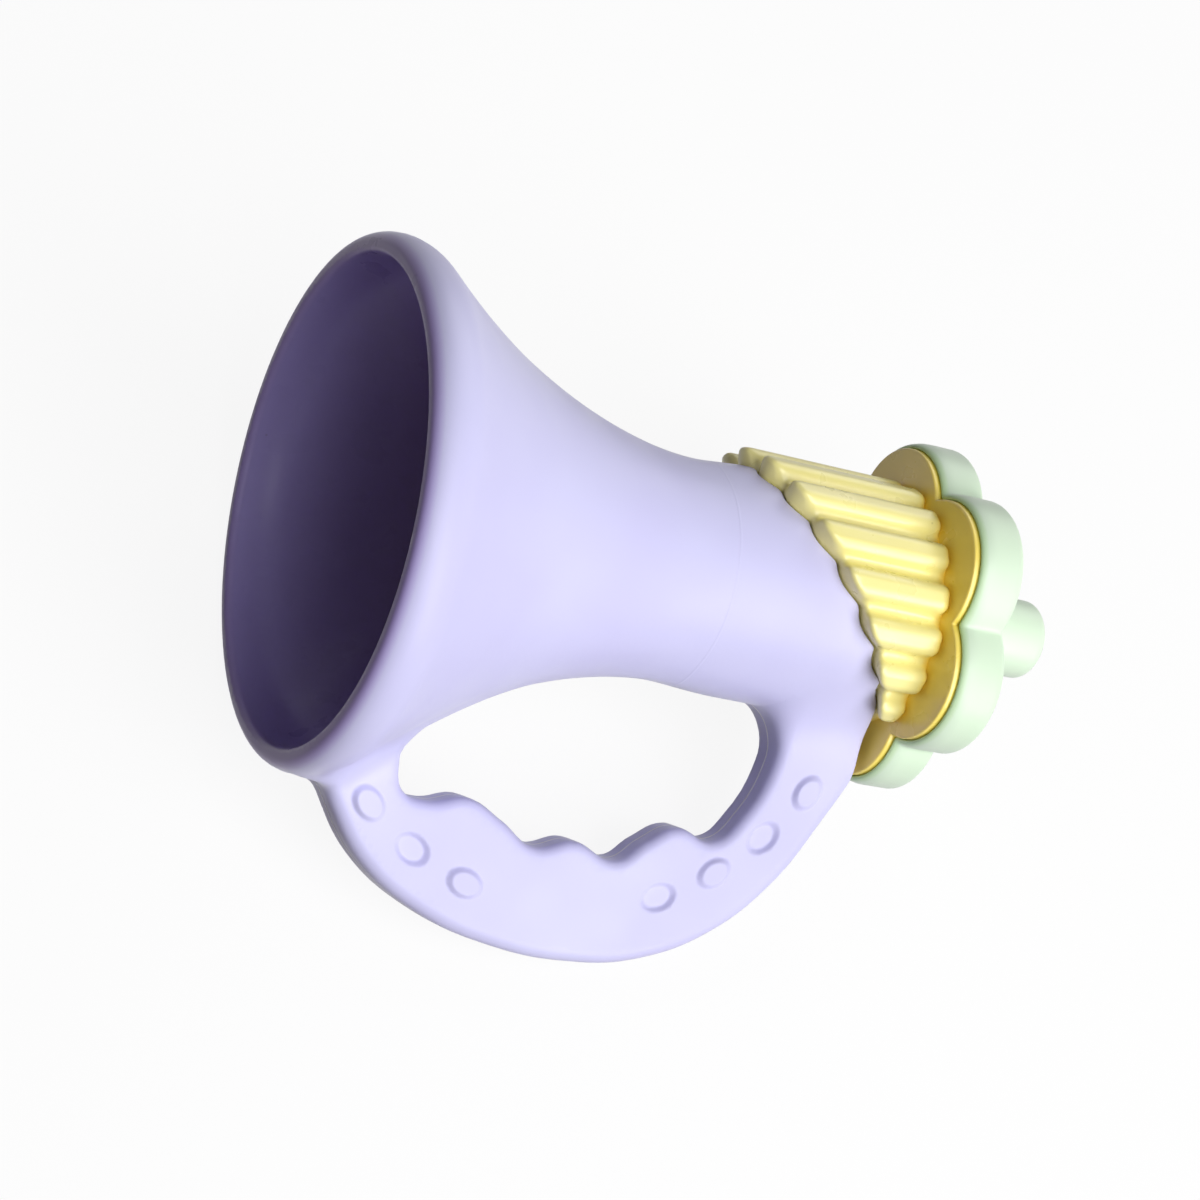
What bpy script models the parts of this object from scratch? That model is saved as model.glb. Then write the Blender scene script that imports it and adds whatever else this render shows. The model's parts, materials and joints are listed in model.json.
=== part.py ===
"""Toy trumpet with a loop handle, a ribbed sleeve, a flower mouthpiece cap and a blow-draw reed unit.

Horn frame: +X runs along the bore from the mouth to the mouthpiece, +Y points away from the handle and
+Z is the near side. The handle's mid-plane is z = 0. An empty then lays the trumpet on its side, where it
rests on the bell's rim, one petal of the cap and the handle's outer edge.
"""

import math

import bmesh
import bpy
from mathutils import Vector

MM = 0.001

# Clearance between pieces that are pushed together
FIT_GAP = 0.3 * MM

# Bell and neck
BELL_RADIUS = 45.1 * MM
RIM_WIDTH = 4.1 * MM
NECK_RADIUS = 19.7 * MM
HORN_WALL = 3.0 * MM
RIM_DEPTH = 3.6 * MM
RIM_ROUND = 2.4 * MM
RIM_FLAT = 0.8 * MM
MOUTH_EDGE_DEPTH = 1.5 * MM
CROWN_RADIUS = 8.2 * MM
FLARE_ANGLE = math.radians(38.2)

# Loop handle, an outline in the mid-plane
HANDLE_THICKNESS = 9.0 * MM
HANDLE_EDGE_ROUND = 2.2 * MM
HANDLE_REACH = 70.2 * MM
HANDLE_LOWEST_X = 59.4 * MM
HANDLE_ROOT_DEPTH = 14.0 * MM
HOLE_ROOT_DEPTH = 6.0 * MM

# Oblique seam between the neck and the sleeve
SEAM_SETBACK = 16.6 * MM
SEAM_ANGLE = math.radians(39.5)

# Ribbed sleeve
SPIGOT_LENGTH = 44.2 * MM
SOCKET_DEPTH = 4.8 * MM
SLEEVE_BORE_RADIUS = 12.0 * MM
FLANGE_FACE_X = 110.2 * MM
FLANGE_THICKNESS = 2.5 * MM
FLANGE_EDGE_ROUND = 0.5 * MM
RIB_COUNT = 15
RIB_PITCH = math.radians(20.0)
RIB_HEIGHT = 4.2 * MM
RIB_CREST_WIDTH = 4.6 * MM
RIB_BASE_WIDTH = 6.4 * MM
RIB_EDGE_ROUND = 1.4 * MM
RIB_EMBED = 0.4 * MM
RIB_LEAN = 0.7 * MM

# Six-petal flower shared by the flange and the cap
PETAL_COUNT = 6
PETAL_INSET = 2.2 * MM
FLANGE_PETAL_RADIUS = 12.7 * MM
CAP_PETAL_RADIUS = 14.3 * MM

# Flower cap with its mouthpiece
CAP_LIP_SETBACK = 1.1 * MM
CAP_DEPTH = 9.0 * MM
CAP_FRONT_ROUND = 3.2 * MM
CAP_BACK_ROUND = 1.4 * MM
MOUTHPIECE_RADIUS = 7.4 * MM
MOUTHPIECE_LENGTH = 24.1 * MM
MOUTHPIECE_END_ROUND = 2.2 * MM
MOUTHPIECE_ROOT_ROUND = 1.5 * MM
MOUTHPIECE_BORE_RADIUS = 4.0 * MM

# Reed unit
HOLDER_LENGTH = 17.5 * MM
HOLDER_WALL = 2.0 * MM
HOLDER_FLOOR = 2.5 * MM
REED_PLATE_THICKNESS = 1.2 * MM
PLATE_SEAT_END = 1.5 * MM
PLATE_SEAT_SIDE = 1.2 * MM
SLOT_WEB = 1.2 * MM
TONGUE_LENGTH = 10.8 * MM
TONGUE_WIDTH = 2.0 * MM
TONGUE_THICKNESS = 0.3 * MM
CLAMP_LENGTH = 2.4 * MM
CLAMP_WIDTH = 2.8 * MM
CLAMP_THICKNESS = 1.2 * MM
RIVET_RADIUS = 0.5 * MM
RIVET_HEAD_RADIUS = 1.1 * MM
RIVET_HEAD_HEIGHT = 0.5 * MM

# Faceting
TURNED_STEPS = 48
FLARE_STEPS = 12
ROUND_STEPS = 4
PETAL_STEPS = 10
SMALL_STEPS = 12

# Sizes that follow from the ones above
MOUTH_RADIUS = BELL_RADIUS - RIM_WIDTH
HALF_HANDLE = HANDLE_THICKNESS / 2
SEAM_X = FLANGE_FACE_X - SEAM_SETBACK
SLEEVE_RADIUS = NECK_RADIUS - HORN_WALL - FIT_GAP
FLANGE_BACK_X = FLANGE_FACE_X + FLANGE_THICKNESS
SLEEVE_START_X = FLANGE_FACE_X - SPIGOT_LENGTH
SLEEVE_END_X = FLANGE_BACK_X + SOCKET_DEPTH
RIB_RADIUS = NECK_RADIUS + RIB_HEIGHT
PETAL_CENTRE_RADIUS = NECK_RADIUS - PETAL_INSET
CAP_LIP_X = FLANGE_FACE_X + CAP_LIP_SETBACK
CAP_BACK_X = CAP_LIP_X + CAP_DEPTH
MOUTHPIECE_END_X = CAP_BACK_X + MOUTHPIECE_LENGTH
SLOT_WIDTH = TONGUE_WIDTH + 2 * FIT_GAP
SLOT_LENGTH = TONGUE_LENGTH + 2 * FIT_GAP
TONGUE_LANE = (SLOT_WIDTH + SLOT_WEB) / 2
WINDOW_HALF_LENGTH = SLOT_LENGTH / 2 + CLAMP_LENGTH + FIT_GAP
WINDOW_HALF_WIDTH = TONGUE_LANE + CLAMP_WIDTH / 2 + FIT_GAP
PLATE_HALF_LENGTH = WINDOW_HALF_LENGTH + PLATE_SEAT_END
PLATE_HALF_WIDTH = WINDOW_HALF_WIDTH + PLATE_SEAT_SIDE
HOLDER_INNER_RADIUS = math.hypot(PLATE_HALF_LENGTH, PLATE_HALF_WIDTH) + FIT_GAP
HOLDER_RADIUS = HOLDER_INNER_RADIUS + HOLDER_WALL
HOLDER_START_X = SLEEVE_END_X - HOLDER_LENGTH
PLATE_FRONT_X = HOLDER_START_X + HOLDER_FLOOR + FIT_GAP
PLATE_BACK_X = PLATE_FRONT_X + REED_PLATE_THICKNESS

# Handle outline in millimetres of the horn frame: the outer edge from under the bell round to the flange,
# then the finger hole from its left wall along the four finger grooves to the right wall.
OUTER_EDGE = (
    (8.7, -45.6), (17.3, -57.0), (30.0, -64.9), (44.9, -69.1),
    (HANDLE_LOWEST_X / MM, -HANDLE_REACH / MM),
    (73.1, -68.4), (87.3, -61.7), (97.1, -52.3), (105.9, -37.5),
    (FLANGE_FACE_X / MM - 0.5, -30.5), (FLANGE_FACE_X / MM + 5.8, -20.0),
)
FINGER_HOLE = (
    (21.5, -39.1), (23.2, -44.9), (28.0, -46.1), (35.3, -44.6), (42.4, -47.6), (49.1, -51.2), (56.7, -49.3),
    (65.2, -51.6), (70.4, -47.7), (76.1, -44.4), (83.8, -45.8), (89.0, -40.5), (93.0, -30.7), (91.4, -24.1),
    (87.2, -21.0),
)


def clear_scene():
    for old in list(bpy.data.objects):
        bpy.data.objects.remove(old, do_unlink=True)


def new_collection(name):
    collection = bpy.data.collections.new(name)
    bpy.context.scene.collection.children.link(collection)
    return collection


def material(name, colour, roughness, metallic=0.0):
    made = bpy.data.materials.new(name)
    made.use_nodes = True
    shader = made.node_tree.nodes["Principled BSDF"]
    shader.inputs["Base Color"].default_value = (*colour, 1.0)
    shader.inputs["Roughness"].default_value = roughness
    shader.inputs["Metallic"].default_value = metallic
    return made


def add_object(name, mesh, collection):
    made = bpy.data.objects.new(name, mesh)
    collection.objects.link(made)
    made.parent = rest
    return made


def add_cutter(name, mesh):
    made = add_object(name, mesh, cutters)
    made.hide_render = True
    made.display_type = 'WIRE'
    return made


def finish(piece, look):
    piece.data.materials.append(look)
    piece.data.shade_smooth()
    piece.data.set_sharp_from_angle(angle=math.radians(35.0))


def boolean(piece, tool, operation):
    step = piece.modifiers.new(operation.lower(), 'BOOLEAN')
    step.operation = operation
    step.object = tool
    step.solver = 'EXACT'


def mesh_from(name, build):
    """A new mesh filled by build(bm)."""
    mesh = bpy.data.meshes.new(name)
    bm = bmesh.new()
    build(bm)
    bmesh.ops.recalc_face_normals(bm, faces=bm.faces)
    bm.to_mesh(mesh)
    bm.free()
    return mesh


def turned_mesh(name, profile):
    """A profile of (x, radius) points for a Screw about the bore."""
    mesh = bpy.data.meshes.new(name)
    edges = [(i, i + 1) for i in range(len(profile) - 1)]
    mesh.from_pydata([(radius, 0.0, x) for x, radius in profile], edges, [])
    return mesh


def turn(piece, steps=TURNED_STEPS):
    """Spin a profile about its local Z, which lies along the bore."""
    piece.rotation_euler = (0.0, math.pi / 2, 0.0)
    spin = piece.modifiers.new("turn", 'SCREW')
    spin.axis = 'Z'
    spin.angle = 2 * math.pi
    spin.steps = steps
    spin.render_steps = steps
    spin.use_merge_vertices = True
    spin.merge_threshold = 0.001 * MM


def box_mesh(name, low, high):
    def build(bm):
        bmesh.ops.create_cube(bm, size=1.0)
        for vert in bm.verts:
            vert.co = [(a + b) / 2 + c * (b - a) for a, b, c in zip(low, high, vert.co)]
    return mesh_from(name, build)


def elliptic_arc(centre, semi_x, semi_r, start, end, steps):
    """Points (x, radius) on an ellipse, by angles from +X towards growing radius."""
    angles = [start + (end - start) * i / steps for i in range(steps + 1)]
    return [(centre[0] + semi_x * math.cos(a), centre[1] + semi_r * math.sin(a)) for a in angles]


def flare_profile(offset, end_x):
    """Outer horn curve moved inwards by offset along its normal, from end_x to the tangent at the crown."""
    start_x = RIM_DEPTH + CROWN_RADIUS * math.sin(FLARE_ANGLE)
    start_r = BELL_RADIUS - CROWN_RADIUS * (1 - math.cos(FLARE_ANGLE))
    flare_length = 2 * (start_r - NECK_RADIUS) / math.tan(FLARE_ANGLE)
    points = [(end_x, NECK_RADIUS - offset)]
    for i in range(FLARE_STEPS + 1):
        share = i / FLARE_STEPS
        radius = NECK_RADIUS + (start_r - NECK_RADIUS) * share ** 2
        slope = math.tan(FLARE_ANGLE) * share
        points.append((start_x + flare_length * (1 - share), radius - offset * math.hypot(1.0, slope)))
    return points


def parabola(start, corner, end):
    """Smooth bend from start to end that leaves and arrives along the lines to the corner."""
    points = []
    for i in range(ROUND_STEPS + 1):
        share = i / ROUND_STEPS
        first = Vector(start).lerp(Vector(corner), share)
        second = Vector(corner).lerp(Vector(end), share)
        points.append(tuple(first.lerp(second, share)))
    return points


def horn_outside():
    """Solid outer form of bell and neck, from the neck's end on the axis to the mouth on the axis."""
    quarter = math.pi / 2
    crown = elliptic_arc((RIM_DEPTH, BELL_RADIUS - CROWN_RADIUS), CROWN_RADIUS, CROWN_RADIUS,
                         quarter - FLARE_ANGLE, quarter, ROUND_STEPS)
    nose = elliptic_arc((RIM_DEPTH, BELL_RADIUS - RIM_ROUND), RIM_DEPTH, RIM_ROUND,
                        quarter, 2 * quarter, ROUND_STEPS)
    end_x = FLANGE_FACE_X
    return [(end_x, 0.0)] + flare_profile(0.0, end_x) + crown[1:] + nose[1:] + [(0.0, 0.0)]


def horn_inside():
    """Air space of bell and neck, running out past the mouth."""
    quarter = math.pi / 2
    rim_edge = BELL_RADIUS - RIM_ROUND - RIM_FLAT
    end_x = FLANGE_FACE_X + RIM_DEPTH
    flare = flare_profile(HORN_WALL, end_x)[:-1]
    (back_x, back_r), (turn_x, turn_r) = flare[-2:]
    bend_x = turn_x - (MOUTH_RADIUS - turn_r) * (back_x - turn_x) / (turn_r - back_r)
    bend = [(turn_x, turn_r), (bend_x, MOUTH_RADIUS), (MOUTH_EDGE_DEPTH, MOUTH_RADIUS)]
    lip = elliptic_arc((MOUTH_EDGE_DEPTH, rim_edge), MOUTH_EDGE_DEPTH, rim_edge - MOUTH_RADIUS,
                       3 * quarter, 2 * quarter, ROUND_STEPS)
    outside = [(-RIM_DEPTH, rim_edge), (-RIM_DEPTH, 0.0)]
    return [(end_x, 0.0)] + flare + parabola(*bend)[1:] + lip[1:] + outside


def add_bezier(curve, shown, hidden):
    """One closed spline: smooth through the shown points and straight between the hidden ones."""
    spline = curve.splines.new('BEZIER')
    spline.use_cyclic_u = True
    spline.resolution_u = 4
    points = list(shown) + list(hidden)
    spline.bezier_points.add(len(points) - 1)
    for i, (point, place) in enumerate(zip(spline.bezier_points, points)):
        kind = 'AUTO' if 0 < i < len(shown) - 1 else 'VECTOR'
        point.co = (*place, 0.0)
        point.handle_left_type = kind
        point.handle_right_type = kind


def handle_mesh():
    """Rounded plate of the loop handle, with root lines that end inside the horn's wall and air space."""
    curve = bpy.data.curves.new("handle_outline", 'CURVE')
    curve.dimensions = '2D'
    curve.fill_mode = 'BOTH'
    curve.extrude = HALF_HANDLE - HANDLE_EDGE_ROUND
    curve.bevel_depth = HANDLE_EDGE_ROUND
    curve.bevel_resolution = 1
    curve.offset = -HANDLE_EDGE_ROUND
    outer = [(x * MM, y * MM) for x, y in OUTER_EDGE]
    hole = [(x * MM, y * MM) for x, y in reversed(FINGER_HOLE)]
    neck_y = HANDLE_ROOT_DEPTH - NECK_RADIUS
    bell_y = HANDLE_ROOT_DEPTH - BELL_RADIUS
    left_x = hole[-1][0]
    right_x = hole[0][0]
    add_bezier(curve, outer, [(outer[-1][0], neck_y), (outer[0][0], neck_y), (outer[0][0], bell_y)])
    add_bezier(curve, hole, [(left_x, hole[-1][1] + HOLE_ROOT_DEPTH),
                             (left_x + NECK_RADIUS, HOLE_ROOT_DEPTH - NECK_RADIUS),
                             (right_x - HORN_WALL, HORN_WALL / 2 - NECK_RADIUS)])
    drawn = bpy.data.objects.new("handle_outline", curve)
    cutters.objects.link(drawn)
    bpy.context.view_layer.update()
    mesh = bpy.data.meshes.new_from_object(drawn.evaluated_get(bpy.context.evaluated_depsgraph_get()))
    bpy.data.objects.remove(drawn, do_unlink=True)
    bm = bmesh.new()
    bm.from_mesh(mesh)
    bmesh.ops.remove_doubles(bm, verts=bm.verts, dist=0.001 * MM)
    bmesh.ops.recalc_face_normals(bm, faces=bm.faces)
    bm.to_mesh(mesh)
    bm.free()
    return mesh


def seam_block(name, shift):
    """Large block behind the oblique seam plane, moved along the bore by shift."""
    size = MOUTHPIECE_END_X
    block = add_cutter(name, box_mesh(name, (0.0, -size, -size), (size, size, size)))
    block.location = (SEAM_X + shift, 0.0, 0.0)
    block.rotation_euler = (0.0, 0.0, SEAM_ANGLE)
    return block


def seam_front(angle, radius):
    """X of the sleeve's front edge at a radius and an angle, from the near side towards +Y."""
    return SEAM_X + FIT_GAP / 2 - math.tan(SEAM_ANGLE) * radius * math.sin(angle)


def make_horn_body():
    body = add_object("horn_body", turned_mesh("horn_body", horn_outside()), trumpet)
    turn(body)
    boolean(body, add_cutter("loop_handle", handle_mesh()), 'UNION')
    air = add_cutter("horn_air", turned_mesh("horn_air", horn_inside()))
    turn(air)
    boolean(body, air, 'DIFFERENCE')
    room_radius = NECK_RADIUS + FIT_GAP
    room = add_cutter("sleeve_room", turned_mesh("sleeve_room", [
        (CAP_BACK_X, 0.0), (CAP_BACK_X, room_radius), (SLEEVE_START_X, room_radius), (SLEEVE_START_X, 0.0)]))
    turn(room)
    boolean(room, seam_block("neck_seam", -FIT_GAP / 2), 'INTERSECT')
    boolean(body, room, 'DIFFERENCE')
    reach = HANDLE_REACH
    behind = box_mesh("flange_room", (FLANGE_FACE_X - FIT_GAP, -reach, -reach), (CAP_BACK_X, reach, reach))
    boolean(body, add_cutter("flange_room", behind), 'DIFFERENCE')
    finish(body, material("lavender_plastic", (0.597, 0.597, 0.871), 0.38))


def flower_ring(bm, x, petal_radius):
    """Ring of verts round six joined petals at x."""
    half_pitch = math.pi / PETAL_COUNT
    sweep = half_pitch + math.asin(PETAL_CENTRE_RADIUS * math.sin(half_pitch) / petal_radius)
    ring = []
    for petal in range(PETAL_COUNT):
        aim = math.pi / 2 + 2 * half_pitch * petal
        for i in range(PETAL_STEPS):
            turn_angle = aim - sweep + 2 * sweep * i / PETAL_STEPS
            y = PETAL_CENTRE_RADIUS * math.sin(aim) + petal_radius * math.sin(turn_angle)
            z = PETAL_CENTRE_RADIUS * math.cos(aim) + petal_radius * math.cos(turn_angle)
            ring.append(bm.verts.new((x, y, z)))
    return ring


def flower_mesh(name, levels):
    """Loft through flower sections given as (x, petal radius)."""
    def build(bm):
        rings = [flower_ring(bm, x, radius) for x, radius in levels]
        bm.faces.new(rings[0])
        bm.faces.new(rings[-1])
        for first, second in zip(rings, rings[1:]):
            for i, vert in enumerate(first):
                bm.faces.new((first[i - 1], vert, second[i], second[i - 1]))
    return mesh_from(name, build)


def rib_mesh(name, angle):
    """Tapered bar along the bore, its front end cut to the seam and leaning over the neck.

    Every edge but those of its base is marked for rounding.
    """
    def build(bm):
        bmesh.ops.create_cube(bm, size=2.0)
        weight = bm.edges.layers.float.new("bevel_weight_edge")
        for edge in bm.edges:
            edge[weight] = 1.0 if any(vert.co.z > 0 for vert in edge.verts) else 0.0
        for vert in bm.verts:
            at_back, side, at_crest = vert.co
            width = RIB_CREST_WIDTH if at_crest > 0 else RIB_BASE_WIDTH
            radius = RIB_RADIUS if at_crest > 0 else NECK_RADIUS - RIB_EMBED
            lean = RIB_LEAN if at_crest > 0 else 0.0
            across = side * width / 2
            aim = angle + across / radius
            front = max(seam_front(aim, NECK_RADIUS), seam_front(aim, min(radius, NECK_RADIUS))) - lean
            x = FLANGE_FACE_X + FIT_GAP if at_back > 0 else front
            vert.co = (x, radius * math.sin(angle) + across * math.cos(angle),
                       radius * math.cos(angle) - across * math.sin(angle))
    return mesh_from(name, build)


def make_ribbed_sleeve():
    sleeve = add_object("ribbed_sleeve", turned_mesh("ribbed_sleeve", [
        (SLEEVE_END_X, 0.0), (SLEEVE_END_X, SLEEVE_RADIUS), (SLEEVE_START_X, SLEEVE_RADIUS),
        (SLEEVE_START_X, 0.0)]), trumpet)
    turn(sleeve)
    drum = add_cutter("sleeve_drum", turned_mesh("sleeve_drum", [
        (FLANGE_FACE_X + FLANGE_EDGE_ROUND, 0.0), (FLANGE_FACE_X + FLANGE_EDGE_ROUND, NECK_RADIUS),
        (SLEEVE_START_X, NECK_RADIUS), (SLEEVE_START_X, 0.0)]))
    turn(drum)
    boolean(drum, seam_block("drum_seam", FIT_GAP / 2), 'INTERSECT')
    boolean(sleeve, drum, 'UNION')
    flange = add_cutter("sleeve_flange", flower_mesh("sleeve_flange", [
        (FLANGE_FACE_X, FLANGE_PETAL_RADIUS - FLANGE_EDGE_ROUND),
        (FLANGE_FACE_X + FLANGE_EDGE_ROUND, FLANGE_PETAL_RADIUS),
        (FLANGE_BACK_X, FLANGE_PETAL_RADIUS)]))
    boolean(sleeve, flange, 'UNION')
    for i in range(RIB_COUNT):
        angle = math.pi / 2 + RIB_PITCH * (i - (RIB_COUNT - 1) / 2)
        name = f"rib_{i + 1}"
        rib = add_cutter(name, rib_mesh(name, angle))
        rounding = rib.modifiers.new("rounding", 'BEVEL')
        rounding.width = RIB_EDGE_ROUND
        rounding.segments = 2
        rounding.limit_method = 'WEIGHT'
        boolean(sleeve, rib, 'UNION')
    step_x = HOLDER_START_X - FIT_GAP
    seat_radius = HOLDER_RADIUS + FIT_GAP
    bore = add_cutter("sleeve_bore", turned_mesh("sleeve_bore", [
        (CAP_BACK_X, 0.0), (CAP_BACK_X, seat_radius), (step_x, seat_radius), (step_x, SLEEVE_BORE_RADIUS),
        (SLEEVE_START_X - HORN_WALL, SLEEVE_BORE_RADIUS), (SLEEVE_START_X - HORN_WALL, 0.0)]))
    turn(bore)
    boolean(sleeve, bore, 'DIFFERENCE')
    finish(sleeve, material("yellow_plastic", (0.905, 0.815, 0.305), 0.4))


def cap_levels():
    """Flower sections of the cap from its back, round the lip and down into the flange's recess."""
    recess_radius = FLANGE_PETAL_RADIUS + FIT_GAP
    lip_radius = recess_radius + FIT_GAP
    quarter = math.pi / 2
    back = elliptic_arc((CAP_BACK_X - CAP_BACK_ROUND, CAP_PETAL_RADIUS - CAP_BACK_ROUND), CAP_BACK_ROUND,
                        CAP_BACK_ROUND, 0.0, quarter, ROUND_STEPS - 1)
    front = elliptic_arc((CAP_LIP_X + CAP_FRONT_ROUND, lip_radius), CAP_FRONT_ROUND,
                         CAP_PETAL_RADIUS - lip_radius, quarter, 2 * quarter, ROUND_STEPS)
    return back + front + [(CAP_LIP_X, recess_radius), (FLANGE_BACK_X + FIT_GAP, recess_radius)]


def make_flower_cap():
    cap = add_object("flower_cap", flower_mesh("flower_cap", cap_levels()), trumpet)
    quarter = math.pi / 2
    end = elliptic_arc((MOUTHPIECE_END_X - MOUTHPIECE_END_ROUND, MOUTHPIECE_RADIUS - MOUTHPIECE_END_ROUND),
                       MOUTHPIECE_END_ROUND, MOUTHPIECE_END_ROUND, 0.0, quarter, ROUND_STEPS)
    root_round = MOUTHPIECE_ROOT_ROUND
    root_radius = MOUTHPIECE_RADIUS + root_round
    root = elliptic_arc((CAP_BACK_X + root_round, root_radius), root_round, root_round,
                        3 * quarter, 2 * quarter, ROUND_STEPS - 1)
    inside_x = CAP_BACK_X - CAP_BACK_ROUND
    stub = add_cutter("mouthpiece_stub", turned_mesh("mouthpiece_stub", [
        (MOUTHPIECE_END_X, 0.0), *end, *root, (inside_x, root_radius), (inside_x, 0.0)]))
    turn(stub)
    boolean(cap, stub, 'UNION')
    socket_radius = SLEEVE_RADIUS + FIT_GAP
    socket_x = SLEEVE_END_X + FIT_GAP
    airway = add_cutter("cap_airway", turned_mesh("cap_airway", [
        (MOUTHPIECE_END_X + HORN_WALL, 0.0), (MOUTHPIECE_END_X + HORN_WALL, MOUTHPIECE_BORE_RADIUS),
        (socket_x, MOUTHPIECE_BORE_RADIUS), (socket_x, socket_radius), (FLANGE_FACE_X, socket_radius),
        (FLANGE_FACE_X, 0.0)]))
    turn(airway)
    boolean(cap, airway, 'DIFFERENCE')
    finish(cap, material("green_plastic", (0.665, 0.905, 0.62), 0.38))


def make_reed_holder():
    inner = HOLDER_INNER_RADIUS
    floor_x = HOLDER_START_X + HOLDER_FLOOR
    holder = add_object("reed_holder", turned_mesh("reed_holder", [
        (floor_x, 0.0), (floor_x, inner), (SLEEVE_END_X, inner), (SLEEVE_END_X, HOLDER_RADIUS),
        (HOLDER_START_X, HOLDER_RADIUS), (HOLDER_START_X, 0.0)]), trumpet)
    turn(holder)
    half_y = WINDOW_HALF_LENGTH
    half_z = WINDOW_HALF_WIDTH
    window = box_mesh("holder_window", (HOLDER_START_X - HOLDER_FLOOR, -half_y, -half_z),
                      (floor_x + HOLDER_FLOOR, half_y, half_z))
    boolean(holder, add_cutter("holder_window", window), 'DIFFERENCE')
    finish(holder, material("white_plastic", (0.8, 0.8, 0.78), 0.45))


def reed_places():
    """Each reed's name, its side of the plate (+1 faces the mouthpiece) and the direction it points in."""
    return (("blow_reed", 1, 1), ("draw_reed", -1, -1))


def reed_x(side, near, far):
    """Low and high X of something standing off one side of the plate, from near to far above its face."""
    face = PLATE_BACK_X if side > 0 else PLATE_FRONT_X
    return sorted((face + side * near, face + side * far))


def root_y(aim):
    """Y of a tongue's root, where it bends."""
    return -aim * TONGUE_LENGTH / 2


def rivet_y(aim):
    return root_y(aim) - aim * (FIT_GAP + CLAMP_LENGTH / 2)


def rivet_hole(name, y, z):
    radius = RIVET_RADIUS + FIT_GAP
    hole = add_cutter(name, turned_mesh(name, [
        (SLEEVE_END_X, 0.0), (SLEEVE_END_X, radius), (HOLDER_START_X, radius), (HOLDER_START_X, 0.0)]))
    turn(hole, SMALL_STEPS)
    hole.location = (0.0, y, z)
    return hole


def make_reed_unit():
    brass = material("brass", (0.72, 0.52, 0.22), 0.3, 1.0)
    bronze = material("reed_bronze", (0.8, 0.6, 0.35), 0.25, 1.0)
    blank = box_mesh("reed_plate", (PLATE_FRONT_X, -PLATE_HALF_LENGTH, -PLATE_HALF_WIDTH),
                     (PLATE_BACK_X, PLATE_HALF_LENGTH, PLATE_HALF_WIDTH))
    plate = add_object("reed_plate", blank, trumpet)
    for name, side, aim in reed_places():
        lane = side * TONGUE_LANE
        root = root_y(aim)
        through = REED_PLATE_THICKNESS
        slot = box_mesh(name + "_slot", (PLATE_FRONT_X - through, -SLOT_LENGTH / 2, lane - SLOT_WIDTH / 2),
                        (PLATE_BACK_X + through, SLOT_LENGTH / 2, lane + SLOT_WIDTH / 2))
        boolean(plate, add_cutter(name + "_slot", slot), 'DIFFERENCE')
        hole = rivet_hole(name + "_rivet_hole", rivet_y(aim), lane)
        boolean(plate, hole, 'DIFFERENCE')
        make_tongue(name, side, aim, lane, root, bronze)
        make_clamp(name, side, aim, lane, hole, brass)
        make_rivet(name, side, aim, lane, brass)
    finish(plate, brass)


def make_tongue(name, side, aim, lane, root, look):
    """Vibrating tongue with its origin on the bending line at its root."""
    low_x, high_x = reed_x(side, FIT_GAP, FIT_GAP + TONGUE_THICKNESS)
    middle = (low_x + high_x) / 2
    low_y, high_y = sorted((0.0, aim * TONGUE_LENGTH))
    half_width = TONGUE_WIDTH / 2
    strip = box_mesh(name, (low_x - middle, low_y, -half_width), (high_x - middle, high_y, half_width))
    tongue = add_object(name, strip, trumpet)
    tongue.location = (middle, root, lane)
    finish(tongue, look)


def make_clamp(name, side, aim, lane, hole, look):
    low_x, high_x = reed_x(side, FIT_GAP, FIT_GAP + CLAMP_THICKNESS)
    centre = rivet_y(aim)
    bar = box_mesh(name + "_clamp", (low_x, centre - CLAMP_LENGTH / 2, lane - CLAMP_WIDTH / 2),
                   (high_x, centre + CLAMP_LENGTH / 2, lane + CLAMP_WIDTH / 2))
    clamp = add_object(name + "_clamp", bar, trumpet)
    boolean(clamp, hole, 'DIFFERENCE')
    finish(clamp, look)


def make_rivet(name, side, aim, lane, look):
    """Rivet through clamp and plate with a head at each end."""
    far = reed_x(side, 2 * FIT_GAP + CLAMP_THICKNESS, 2 * FIT_GAP + CLAMP_THICKNESS + RIVET_HEAD_HEIGHT)
    near = reed_x(-side, FIT_GAP, FIT_GAP + RIVET_HEAD_HEIGHT)
    (low_0, low_1), (high_0, high_1) = sorted((far, near))
    head = RIVET_HEAD_RADIUS
    shank = RIVET_RADIUS
    rivet = add_object(name + "_rivet", turned_mesh(name + "_rivet", [
        (high_1, 0.0), (high_1, head), (high_0, head), (high_0, shank),
        (low_1, shank), (low_1, head), (low_0, head), (low_0, 0.0)]), trumpet)
    turn(rivet, SMALL_STEPS)
    rivet.location = (0.0, rivet_y(aim), lane)
    finish(rivet, look)


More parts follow.
